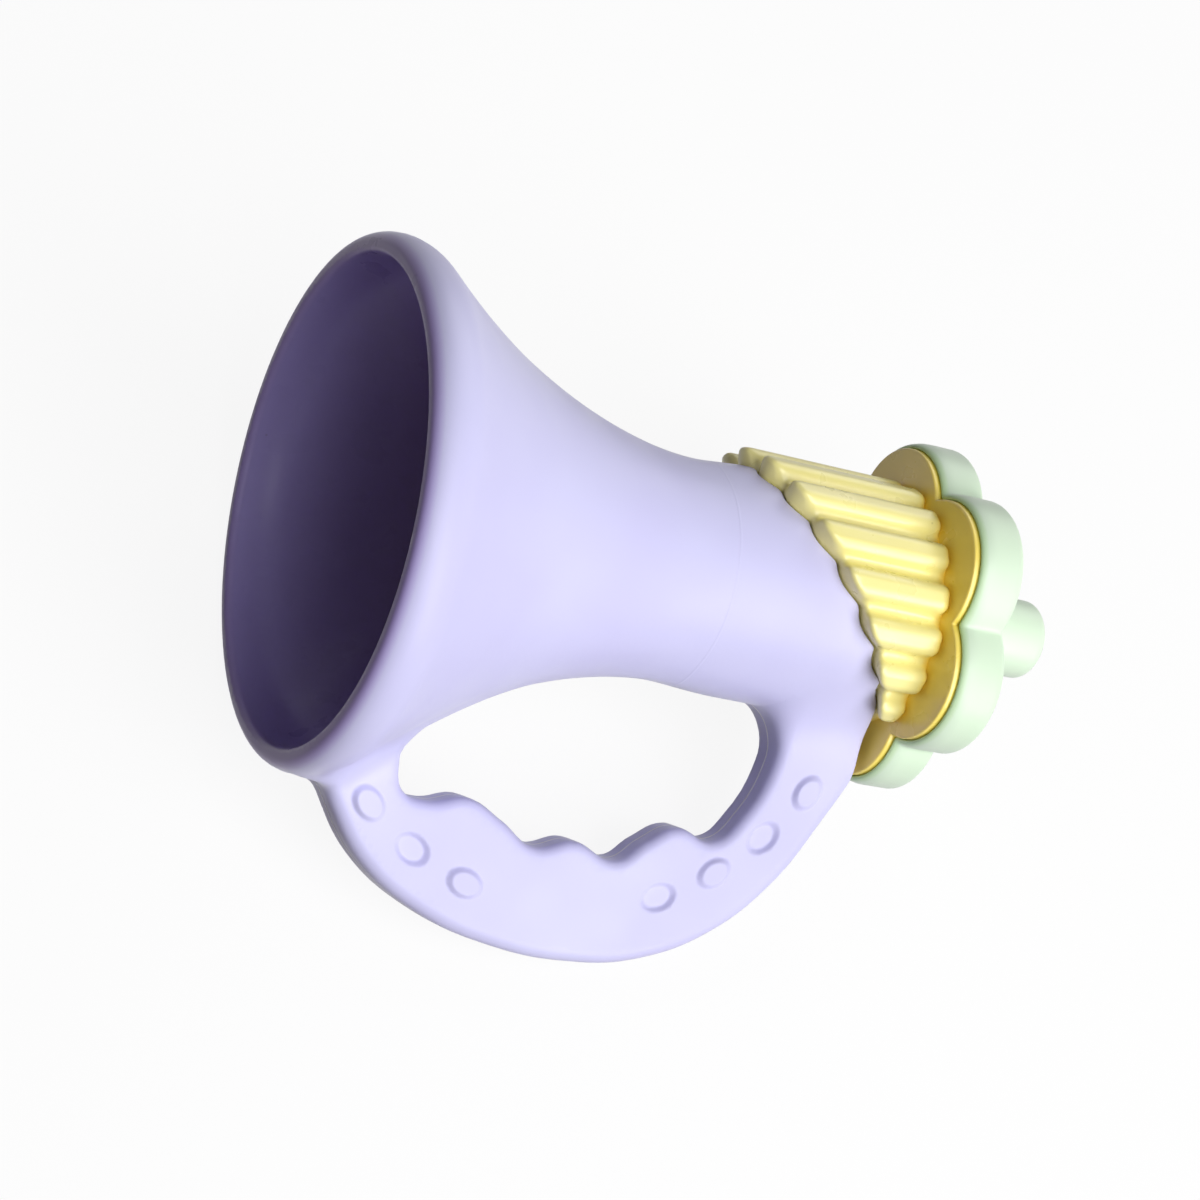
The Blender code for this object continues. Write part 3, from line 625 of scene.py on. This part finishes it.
def flange_loft():
    """Flange from its inner ring, over the front face and the edge, and back behind."""
    loft = Loft(FLANGE_CREASE)
    inner = np.full(ANGLES.shape, FLANGE_INNER_RADIUS)
    edge = FLANGE_PETAL_RADIUS - FLANGE_EDGE
    loft.rounds(along_bore(FLANGE_BACK_X, FLANGE_FACE_X, FLANGE_INNER_RADIUS, FLANGE_STEPS))
    loft.flat_to(petal_reach(edge, FLANGE_CREASE))
    loft.petals(round_edge((FLANGE_FACE_X + FLANGE_EDGE, edge), FLANGE_EDGE, 180, 90, FINE_ROUND_STEPS))
    loft.petals(round_edge((FLANGE_BACK_X - FLANGE_EDGE, edge), FLANGE_EDGE, 90, 0, FINE_ROUND_STEPS))
    loft.flat_to(inner)
    return loft


def cap_loft():
    """Cap from the lip over the outside to the mouthpiece, and back through the bore, socket and recess."""
    loft = Loft(CAP_CREASE)
    recess = FLANGE_PETAL_RADIUS + FLANGE_GAP
    recess_floor = FLANGE_BACK_X + FIT_GAP
    lip = recess + CAP_LIP_ROUND
    lip_x = CAP_LIP_X + CAP_LIP_ROUND
    front_x = CAP_LIP_X + CAP_FRONT_ROUND
    loft.petals(round_edge((lip_x, lip), CAP_LIP_ROUND, 270, 180, FINE_ROUND_STEPS)[:-1])
    loft.petals(arc((front_x, lip), CAP_FRONT_ROUND, CAP_PETAL_RADIUS - lip, 180, 90, CAP_FRONT_STEPS))
    back = CAP_PETAL_RADIUS - CAP_BACK_ROUND
    back_x = CAP_BACK_X - CAP_BACK_ROUND
    loft.petals(along_bore(front_x, back_x, CAP_PETAL_RADIUS, CAP_SIDE_STEPS)[1:-1])
    loft.petals(round_edge((back_x, back), CAP_BACK_ROUND, 90, 0, CAP_ROUND_STEPS))
    root = MOUTHPIECE_RADIUS + MOUTHPIECE_ROOT_ROUND
    root_x = CAP_BACK_X + MOUTHPIECE_ROOT_ROUND
    loft.flat_to(np.full(ANGLES.shape, root))
    loft.rounds(round_edge((root_x, root), MOUTHPIECE_ROOT_ROUND, 180, 270, CAP_ROUND_STEPS))
    shoulder = MOUTHPIECE_END_X - MOUTHPIECE_END_ROUND
    end = MOUTHPIECE_RADIUS - MOUTHPIECE_END_ROUND
    loft.rounds(along_bore(root_x, shoulder, MOUTHPIECE_RADIUS, MOUTHPIECE_STEPS)[1:-1])
    loft.rounds(round_edge((shoulder, end), MOUTHPIECE_END_ROUND, 90, 0, END_ROUND_STEPS))
    bore_edge = MOUTHPIECE_BORE_RADIUS + MOUTHPIECE_BORE_EDGE
    bore_end = MOUTHPIECE_END_X - MOUTHPIECE_BORE_EDGE
    socket = SLEEVE_RADIUS + FIT_GAP
    socket_floor = SLEEVE_END_X + FIT_GAP
    loft.rounds(round_edge((bore_end, bore_edge), MOUTHPIECE_BORE_EDGE, 360, 270, FINE_ROUND_STEPS))
    loft.rounds(along_bore(bore_end, socket_floor, MOUTHPIECE_BORE_RADIUS, MOUTHPIECE_STEPS)[1:])
    loft.flat_to(np.full(ANGLES.shape, socket))
    loft.rounds(along_bore(socket_floor, recess_floor, socket, SOCKET_STEPS))
    loft.flat_to(petal_reach(recess, CAP_CREASE))
    loft.petals(along_bore(recess_floor, lip_x, recess, RECESS_STEPS)[:-1])
    return loft


# Skins

def slopes(field, points):
    """Slope of a field at each point."""
    slope = np.empty_like(points)
    for axis in range(3):
        shift = np.zeros(3)
        shift[axis] = SLOPE_REACH
        slope[:, axis] = (field(points + shift) - field(points - shift)) / (2 * SLOPE_REACH)
    return slope


def settled(field, points, rounds, reach):
    """Points moved on to the field's surface."""
    for _ in range(rounds):
        slope = slopes(field, points)
        step = field(points) / np.maximum((slope * slope).sum(axis=1), LEAST_SLOPE)
        points = points - np.clip(step, -reach, reach)[:, None] * slope
    return points


def first_skin(field, low, high, step):
    """Points and faces of a closed net round a field's inside, with one point in each cell it crosses."""
    counts = [int(math.ceil((b - a) / step)) + 1 for a, b in zip(low, high)]
    axes = [a + step * np.arange(n) for a, n in zip(low, counts)]
    value = np.empty(counts)
    for i, x in enumerate(axes[0]):
        y, z = np.meshgrid(axes[1], axes[2], indexing="ij")
        value[i] = field(np.column_stack((np.full(y.size, x), y.ravel(), z.ravel()))).reshape(y.shape)
    inside = value < 0.0
    cells = tuple(n - 1 for n in counts)
    total = np.zeros((*cells, 3))
    found = np.zeros(cells)
    for axis in range(3):
        near = [slice(None)] * 3
        far = [slice(None)] * 3
        near[axis], far[axis] = slice(0, -1), slice(1, None)
        v0, v1 = value[tuple(near)], value[tuple(far)]
        cross = (v0 < 0.0) != (v1 < 0.0)
        share = np.where(cross, v0 / np.where(cross, v0 - v1, 1.0), 0.0)
        others = [k for k in range(3) if k != axis]
        for a in (0, 1):
            for b in (0, 1):
                part = [slice(None)] * 3
                part[others[0]] = slice(a, a + cells[others[0]])
                part[others[1]] = slice(b, b + cells[others[1]])
                hit = cross[tuple(part)]
                offset = np.zeros((*cells, 3))
                offset[..., axis] = share[tuple(part)]
                offset[..., others[0]] = a
                offset[..., others[1]] = b
                total += offset * hit[..., None]
                found += hit
    mixed = found > 0
    number = np.full(cells, -1)
    number[mixed] = np.arange(mixed.sum())
    place = np.stack(np.nonzero(mixed), axis=1) + total[mixed] / found[mixed][:, None]
    points = np.array(low) + step * place
    faces = []
    for axis in range(3):
        u, v = (axis + 1) % 3, (axis + 2) % 3
        near = [slice(1, -1)] * 3
        far = [slice(1, -1)] * 3
        near[axis], far[axis] = slice(0, -1), slice(1, None)
        enters = inside[tuple(near)]
        cross = enters != inside[tuple(far)]
        at = np.stack(np.nonzero(cross), axis=1)
        at[:, u] += 1
        at[:, v] += 1
        ring = []
        for du, dv in ((-1, -1), (0, -1), (0, 0), (-1, 0)):
            cell = at.copy()
            cell[:, u] += du
            cell[:, v] += dv
            ring.append(number[tuple(cell.T)])
        quads = np.stack(ring, axis=1)
        quads[~enters[cross]] = quads[~enters[cross]][:, ::-1]
        faces.append(quads)
    return points, np.concatenate(faces)


def relaxed(field, points, edges, step):
    """Points spread evenly over the surface."""
    count = np.maximum(np.bincount(edges.ravel(), minlength=len(points)), 1)[:, None]
    for _ in range(RELAX_ROUNDS):
        total = np.zeros_like(points)
        for axis in range(3):
            total[:, axis] += np.bincount(edges[:, 0], points[edges[:, 1], axis], len(points))
            total[:, axis] += np.bincount(edges[:, 1], points[edges[:, 0], axis], len(points))
        points = settled(field, points + RELAX_SHARE * (total / count - points), 1, step)
    return points


def mesh_points(mesh):
    flat = np.empty(3 * len(mesh.vertices))
    mesh.vertices.foreach_get("co", flat)
    return flat.reshape(-1, 3)


def mesh_edges(mesh):
    flat = np.empty(2 * len(mesh.edges), dtype=np.int32)
    mesh.edges.foreach_get("vertices", flat)
    return flat.reshape(-1, 2)


def set_points(mesh, points):
    mesh.vertices.foreach_set("co", np.ascontiguousarray(points, dtype=np.float32).ravel())
    mesh.update()


def split_edges(mesh, chosen):
    """Chosen edges cut in half, and no face left with more than four corners."""
    bm = bmesh.new()
    bm.from_mesh(mesh)
    bm.edges.ensure_lookup_table()
    edges = [bm.edges[i] for i in np.nonzero(chosen)[0]]
    bmesh.ops.subdivide_edges(bm, edges=edges, cuts=1, use_grid_fill=True, use_single_edge=True)
    bmesh.ops.triangulate(bm, faces=[face for face in bm.faces if len(face.verts) > 4])
    bm.to_mesh(mesh)
    bm.free()


def unit(vectors):
    return vectors / np.maximum(np.linalg.norm(vectors, axis=1), TINY)[:, None]


def field_skin(field, low, high, step, finer=None):
    """Points, faces and normals of a closed skin on a field, finer where it bends or is asked to."""
    points, faces = first_skin(field, low, high, step)
    mesh = bpy.data.meshes.new("skin")
    mesh.from_pydata(points.tolist(), [], faces.tolist())
    points = relaxed(field, settled(field, points, SETTLE_ROUNDS, step), mesh_edges(mesh), step)
    for _ in range(REFINE_ROUNDS):
        set_points(mesh, points)
        slope = unit(slopes(field, points))
        ends = mesh_edges(mesh)
        bend = np.arccos(np.clip((slope[ends[:, 0]] * slope[ends[:, 1]]).sum(axis=1), -1.0, 1.0))
        length = np.linalg.norm(points[ends[:, 0]] - points[ends[:, 1]], axis=1)
        wanted = bend > REFINE_ANGLE
        if finer is not None:
            marked = finer(points)
            wanted |= marked[ends].any(axis=1)
        split_edges(mesh, wanted & (length > REFINE_LENGTH))
        points = settled(field, mesh_points(mesh), SETTLE_ROUNDS, step / 2)
    faces = [tuple(face.vertices) for face in mesh.polygons]
    bpy.data.meshes.remove(mesh)
    return points, faces, unit(slopes(field, points))


def moulding(name, skins):
    """One piece of closed skins, each with points, faces and, where it has them, normals of its own."""
    points = np.concatenate([skin[0] for skin in skins])
    faces = []
    first = 0
    for skin in skins:
        faces += [tuple(first + corner for corner in face) for face in skin[1]]
        first += len(skin[0])
    turned = np.array(HORN.to_3x3())
    mesh = bpy.data.meshes.new(name)
    mesh.from_pydata((points * MM @ turned.T + np.array(HORN.translation)).tolist(), [], faces)
    mesh.shade_smooth()
    normals = np.array([vert.normal for vert in mesh.vertices])
    first = 0
    for skin in skins:
        if len(skin) > 2:
            normals[first:first + len(skin[0])] = skin[2] @ turned.T
        first += len(skin[0])
    mesh.normals_split_custom_set_from_vertices(normals.tolist())
    piece = bpy.data.objects.new(name, mesh)
    bpy.context.scene.collection.objects.link(piece)
    return piece


# Materials

def linear(red, green, blue):
    """Scene colour of a screen colour from 0 to 255."""
    screen = np.array((red, green, blue)) / 255.0
    return (*np.where(screen <= 0.04045, screen / 12.92, ((screen + 0.055) / 1.055) ** 2.4), 1.0)


class Nodes:
    """A material's node tree with short calls for what the plastics and metals share."""

    def __init__(self, name):
        self.material = bpy.data.materials.new(name)
        self.material.use_nodes = True
        self.tree = self.material.node_tree
        self.shader = self.tree.nodes["Principled BSDF"]
        self.place = self.add("ShaderNodeTexCoord").outputs["Object"]

    def add(self, kind, **values):
        node = self.tree.nodes.new(kind)
        for key, value in values.items():
            setattr(node, key, value)
        return node

    def join(self, output, socket):
        self.tree.links.new(output, socket)

    def noise(self, scale, detail=3.0):
        node = self.add("ShaderNodeTexNoise")
        node.inputs["Scale"].default_value = scale
        node.inputs["Detail"].default_value = detail
        self.join(self.place, node.inputs["Vector"])
        return node.outputs["Fac"]

    def horn_place(self):
        """X, Y and Z of the horn frame, in metres."""
        turned = self.add("ShaderNodeMapping", vector_type='TEXTURE')
        turned.inputs["Location"].default_value = HORN.translation
        turned.inputs["Rotation"].default_value = HORN.to_euler()
        self.join(self.place, turned.inputs["Vector"])
        split = self.add("ShaderNodeSeparateXYZ")
        self.join(turned.outputs["Vector"], split.inputs["Vector"])
        return split.outputs["X"], split.outputs["Y"], split.outputs["Z"]

    def maths(self, kind, *values):
        node = self.add("ShaderNodeMath", operation=kind)
        for socket, value in zip(node.inputs, values):
            if isinstance(value, float):
                socket.default_value = value
            else:
                self.join(value, socket)
        return node.outputs["Value"]

    def line(self, place, at, half):
        """One on a thin line where a place passes a value, falling to nought on both sides."""
        off = self.maths('ABSOLUTE', self.maths('SUBTRACT', place, at))
        return self.ranged(off, half / 3, half, 1.0, 0.0)

    def ranged(self, value, low, high, to_low, to_high):
        node = self.add("ShaderNodeMapRange")
        node.inputs["From Min"].default_value = low
        node.inputs["From Max"].default_value = high
        node.inputs["To Min"].default_value = to_low
        node.inputs["To Max"].default_value = to_high
        self.join(value, node.inputs["Value"])
        return node.outputs["Result"]

    def mixed(self, share, first, second):
        node = self.add("ShaderNodeMix", data_type='RGBA')
        self.join(share, node.inputs["Factor"])
        for socket, colour in ((node.inputs["A"], first), (node.inputs["B"], second)):
            if isinstance(colour, tuple):
                socket.default_value = colour
            else:
                self.join(colour, socket)
        return node.outputs["Result"]

    def bumped(self, height, depth, before=None):
        """Normal of a skin raised by a height of 0 to 1 times a depth in millimetres."""
        node = self.add("ShaderNodeBump")
        node.inputs["Distance"].default_value = depth * MM
        self.join(height, node.inputs["Height"])
        if before is not None:
            self.join(before, node.inputs["Normal"])
        return node.outputs["Normal"]


class Plastic(Nodes):
    """Moulded plastic: slow changes of tone, a few specks and a fine skin."""

    def __init__(self, name, tones, roughness, gloss):
        super().__init__(name)
        colour, deep = linear(*tones[0]), linear(*tones[1])
        self.shader.inputs["Specular IOR Level"].default_value = gloss
        self.tone = self.mixed(self.ranged(self.noise(*TONE_NOISE), *TONE_SPAN, 0.0, 1.0), colour, deep)
        self.speck_tone = tuple(SPECK_SHADE * part for part in deep[:3]) + (1.0,)
        smooth, rough = roughness - PLASTIC_ROUGH_SPREAD, roughness + PLASTIC_ROUGH_SPREAD
        self.join(self.ranged(self.noise(ROUGH_NOISE), *ROUGH_SPAN, smooth, rough),
                  self.shader.inputs["Roughness"])
        skin = self.bumped(self.noise(SKIN_NOISE), SKIN_HEIGHT)
        self.relief = self.bumped(self.noise(*WARP_NOISE), WARP_HEIGHT, skin)

    def tinted(self, share, colour):
        self.tone = self.mixed(share, self.tone, linear(*colour))

    def raised(self, share, height):
        self.relief = self.bumped(share, height, self.relief)

    def along(self, place, span, to_low, to_high):
        """A share that changes over a span of millimetres."""
        return self.ranged(place, span[0] * MM, span[1] * MM, to_low, to_high)

    def finished(self):
        cells = self.add("ShaderNodeTexVoronoi")
        cells.inputs["Scale"].default_value = SPECK_CELLS
        self.join(self.place, cells.inputs["Vector"])
        specks = self.ranged(cells.outputs["Distance"], *SPECK_REACH, SPECK_SHARE, 0.0)
        self.join(self.mixed(specks, self.tone, self.speck_tone), self.shader.inputs["Base Color"])
        self.join(self.relief, self.shader.inputs["Normal"])
        return self.material


def lavender_plastic():
    """Horn's outside: painted shade on the rim, a raised parting line round the handle with a painted
    highlight, and a faint neck ring.
    """
    look = Plastic("lavender_plastic", LAVENDER_TONES, LAVENDER_ROUGHNESS, SOFT_GLOSS)
    x, y, z = look.horn_place()
    below = look.along(y, [-NECK_RADIUS - reach for reach in PARTING_BELOW_NECK], 1.0, 0.0)
    behind_rim = look.along(x, PARTING_START_X, 0.0, 1.0)
    handle = look.maths('MULTIPLY', below, behind_rim)
    neck = look.maths('SUBTRACT', 1.0, below)
    parting = look.maths('MULTIPLY', look.line(z, 0.0, MOULD_LINE_HALF * MM), handle)
    ring = look.maths('MULTIPLY', look.line(x, NECK_START_X * MM, MOULD_LINE_HALF * MM), neck)
    # Painted shade on the rim's front face
    look.tinted(look.along(x, RIM_SHADE_X, 1.0, 0.0), RIM_SHADE_COLOUR)
    # Painted highlight along the parting line, which is also raised by a bump below
    look.tinted(parting, PARTING_HIGHLIGHT_COLOUR)
    look.raised(parting, PARTING_HEIGHT)
    look.raised(ring, NECK_RING_HEIGHT)
    return look.finished()


def lavender_inside():
    """Wall of the mouth and throat, with painted shade at the rim and painted shade that darkens with
    depth.
    """
    look = Plastic("lavender_plastic_inside", INSIDE_TONES, INSIDE_ROUGHNESS, INSIDE_GLOSS)
    x, _, _ = look.horn_place()
    # Painted shade on the rim's front face
    look.tinted(look.along(x, RIM_SHADE_X, 1.0, 0.0), RIM_SHADE_COLOUR)
    # Painted shade that darkens the throat with depth
    look.tinted(look.along(x, THROAT_SHADE_X, 0.0, 1.0), THROAT_SHADE_COLOUR)
    return look.finished()


def yellow_plastic():
    """Sleeve, with painted bounce light: a fuller golden on the flange and the ribs' rear ends."""
    look = Plastic("yellow_plastic", YELLOW_TONES, YELLOW_ROUGHNESS, YELLOW_GLOSS)
    x, _, _ = look.horn_place()
    # Painted bounce light over the last stretch before the flange face
    span = (FLANGE_FACE_X - FLANGE_BOUNCE_LENGTH, FLANGE_FACE_X)
    look.tinted(look.along(x, span, 0.0, FLANGE_BOUNCE_SHARE), FLANGE_BOUNCE_COLOUR)
    return look.finished()


def green_plastic():
    """Cap, with painted shade: a darker, fuller green where it closes round the flange."""
    look = Plastic("green_plastic", GREEN_TONES, GREEN_ROUGHNESS, GREEN_GLOSS)
    x, _, _ = look.horn_place()
    # Painted shade on the lip next to the flange
    span = (CAP_LIP_X, CAP_LIP_X + LIP_SHADE_LENGTH)
    look.tinted(look.along(x, span, LIP_SHADE_SHARE, 0.0), LIP_SHADE_COLOUR)
    return look.finished()


def metal(name, tones, roughness):
    """Rolled strip: fine lines along one way and a little tarnish."""
    nodes = Nodes(name)
    shader = nodes.shader
    shader.inputs["Metallic"].default_value = 1.0
    stretch = nodes.add("ShaderNodeMapping")
    stretch.inputs["Scale"].default_value = STRIP_LINES
    nodes.join(nodes.place, stretch.inputs["Vector"])
    lines = nodes.add("ShaderNodeTexNoise")
    lines.inputs["Scale"].default_value = 1.0
    nodes.join(stretch.outputs["Vector"], lines.inputs["Vector"])
    tarnish = nodes.ranged(nodes.noise(TARNISH_NOISE), *TARNISH_SPAN, 0.0, 1.0)
    nodes.join(nodes.mixed(tarnish, linear(*tones[0]), linear(*tones[1])), shader.inputs["Base Color"])
    smooth, rough = roughness - METAL_ROUGH_SPREAD, roughness + METAL_ROUGH_SPREAD
    nodes.join(nodes.ranged(lines.outputs["Fac"], *ROUGH_SPAN, smooth, rough), shader.inputs["Roughness"])
    nodes.join(nodes.bumped(lines.outputs["Fac"], STRIP_LINE_HEIGHT), shader.inputs["Normal"])
    return nodes.material


LAVENDER = lavender_plastic()
LAVENDER_INSIDE = lavender_inside()
YELLOW = yellow_plastic()
GREEN = green_plastic()
WHITE = Plastic("white_plastic", WHITE_TONES, WHITE_ROUGHNESS, SOFT_GLOSS).finished()
BRASS = metal("brass", BRASS_TONES, BRASS_ROUGHNESS)
BRONZE = metal("reed_bronze", BRONZE_TONES, BRONZE_ROUGHNESS)


# Pieces

HORN_SKINS = (field_skin(horn_field, HORN_LOW, HORN_HIGH, HORN_STEP, by_ovals),)
GRIP_SKIN = field_skin(grip_field, GRIP_LOW, GRIP_HIGH, GRIP_STEP)
SLEEVE_SKINS = (GRIP_SKIN, flange_loft().skin(), spigot_loft().skin())
CAP_SKINS = (cap_loft().skin(),)
MOULDINGS = (
    ("horn_skin", "horn_body", "lavender_plastic", (LAVENDER, LAVENDER_INSIDE), HORN_SKINS),
    ("sleeve_skin", "ribbed_sleeve", "yellow_plastic", (YELLOW,), SLEEVE_SKINS),
    ("cap_skin", "flower_cap", "green_plastic", (GREEN,), CAP_SKINS),
)
for name, node, slot, looks, skins in MOULDINGS:
    piece = moulding(name, skins)
    for look in looks:
        piece.data.materials.append(look)
    if len(looks) > 1:
        points = skins[0][0]
        middles = np.array([points[list(face)].mean(axis=0) for face in skins[0][1]])
        piece.data.polygons.foreach_set("material_index", within_bell(middles).astype(np.int32))
    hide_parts(node)
    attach(piece, "trumpet")

REED_LOOKS = {
    "reed_holder": WHITE, "reed_plate": BRASS, "blow_reed": BRONZE, "draw_reed": BRONZE,
    "blow_reed_clamp": BRASS, "draw_reed_clamp": BRASS, "blow_reed_rivet": BRASS, "draw_reed_rivet": BRASS,
}
for node, look in REED_LOOKS.items():
    frame["nodes"][node].material_slots[0].material = look


# Camera, floor and light

def make_camera():
    """Camera at the photo's place."""
    right = Vector(CAMERA_RIGHT)
    down = Vector(CAMERA_DOWN)
    turned = Matrix((right, -down, -right.cross(down))).transposed().to_4x4()
    lens = bpy.data.cameras.new("camera")
    lens.lens = CAMERA_LENS
    lens.sensor_width = SENSOR_WIDTH
    lens.clip_start = CLIP_START
    camera = bpy.data.objects.new("camera", lens)
    bpy.context.scene.collection.objects.link(camera)
    camera.matrix_world = HORN @ Matrix.Translation(Vector(CAMERA_PLACE) * MM) @ turned
    bpy.context.scene.camera = camera


def seen_share(tree):
    """One for rays from the camera, mirrors and glass, nought for light that lands on the object."""
    path = tree.nodes.new("ShaderNodeLightPath")
    total = path.outputs["Is Camera Ray"]
    for kind in ("Is Glossy Ray", "Is Transmission Ray"):
        larger = tree.nodes.new("ShaderNodeMath")
        larger.operation = 'MAXIMUM'
        tree.links.new(total, larger.inputs[0])
        tree.links.new(path.outputs[kind], larger.inputs[1])
        total = larger.outputs["Value"]
    return total


def by_view(tree, kind, lit, seen):
    """A colour or number that is lit for light on the object and seen for the background."""
    mix = tree.nodes.new("ShaderNodeMix")
    mix.data_type = kind
    sockets = [socket for socket in mix.inputs if socket.enabled]
    tree.links.new(seen_share(tree), sockets[0])
    sockets[1].default_value = lit
    sockets[2].default_value = seen
    return next(socket for socket in mix.outputs if socket.enabled)


def make_floor():
    """Pale floor that takes the object's shadow and sends little light back."""
    signs = ((-1, -1), (1, -1), (1, 1), (-1, 1))
    corners = [(FLOOR_HALF * u, FLOOR_HALF * v, 0.0) for u, v in signs]
    mesh = bpy.data.meshes.new("floor")
    mesh.from_pydata(corners, [], [(0, 1, 2, 3)])
    floor = bpy.data.objects.new("floor", mesh)
    bpy.context.scene.collection.objects.link(floor)
    look = bpy.data.materials.new("floor")
    look.use_nodes = True
    tree = look.node_tree
    shader = tree.nodes["Principled BSDF"]
    shader.inputs["Roughness"].default_value = FLOOR_ROUGHNESS
    shader.inputs["Specular IOR Level"].default_value = 0.0
    tree.links.new(by_view(tree, 'RGBA', FLOOR_BOUNCE, FLOOR_PALE), shader.inputs["Base Color"])
    glow = tree.nodes.new("ShaderNodeEmission")
    mix = tree.nodes.new("ShaderNodeMixShader")
    tree.links.new(by_view(tree, 'FLOAT', 0.0, FLOOR_GLOW), mix.inputs["Fac"])
    tree.links.new(shader.outputs["BSDF"], mix.inputs[1])
    tree.links.new(glow.outputs["Emission"], mix.inputs[2])
    tree.links.new(mix.outputs["Shader"], tree.nodes["Material Output"].inputs["Surface"])
    mesh.materials.append(look)


def make_world():
    """Weak fill all round, white where the camera sees it."""
    world = bpy.data.worlds.new("studio")
    world.use_nodes = True
    tree = world.node_tree
    background = tree.nodes["Background"]
    tree.links.new(by_view(tree, 'RGBA', WORLD_FILL, BACKGROUND), background.inputs["Color"])
    bpy.context.scene.world = world


def softbox(name, aim, distance, size, power):
    """Square lamp at a distance from the object along aim, turned to face it."""
    lamp = bpy.data.lights.new(name, 'AREA')
    lamp.shape = 'SQUARE'
    lamp.size = size
    lamp.energy = power
    light = bpy.data.objects.new(name, lamp)
    bpy.context.scene.collection.objects.link(light)
    towards = Vector(aim).normalized()
    light.location = Vector((0.0, 0.0, LIT_HEIGHT)) + towards * distance
    light.rotation_euler = towards.to_track_quat('Z', 'Y').to_euler()


make_camera()
make_floor()
make_world()
for name, values in SOFTBOXES.items():
    softbox(name, **values)

bpy.context.scene.view_settings.view_transform = 'Standard'
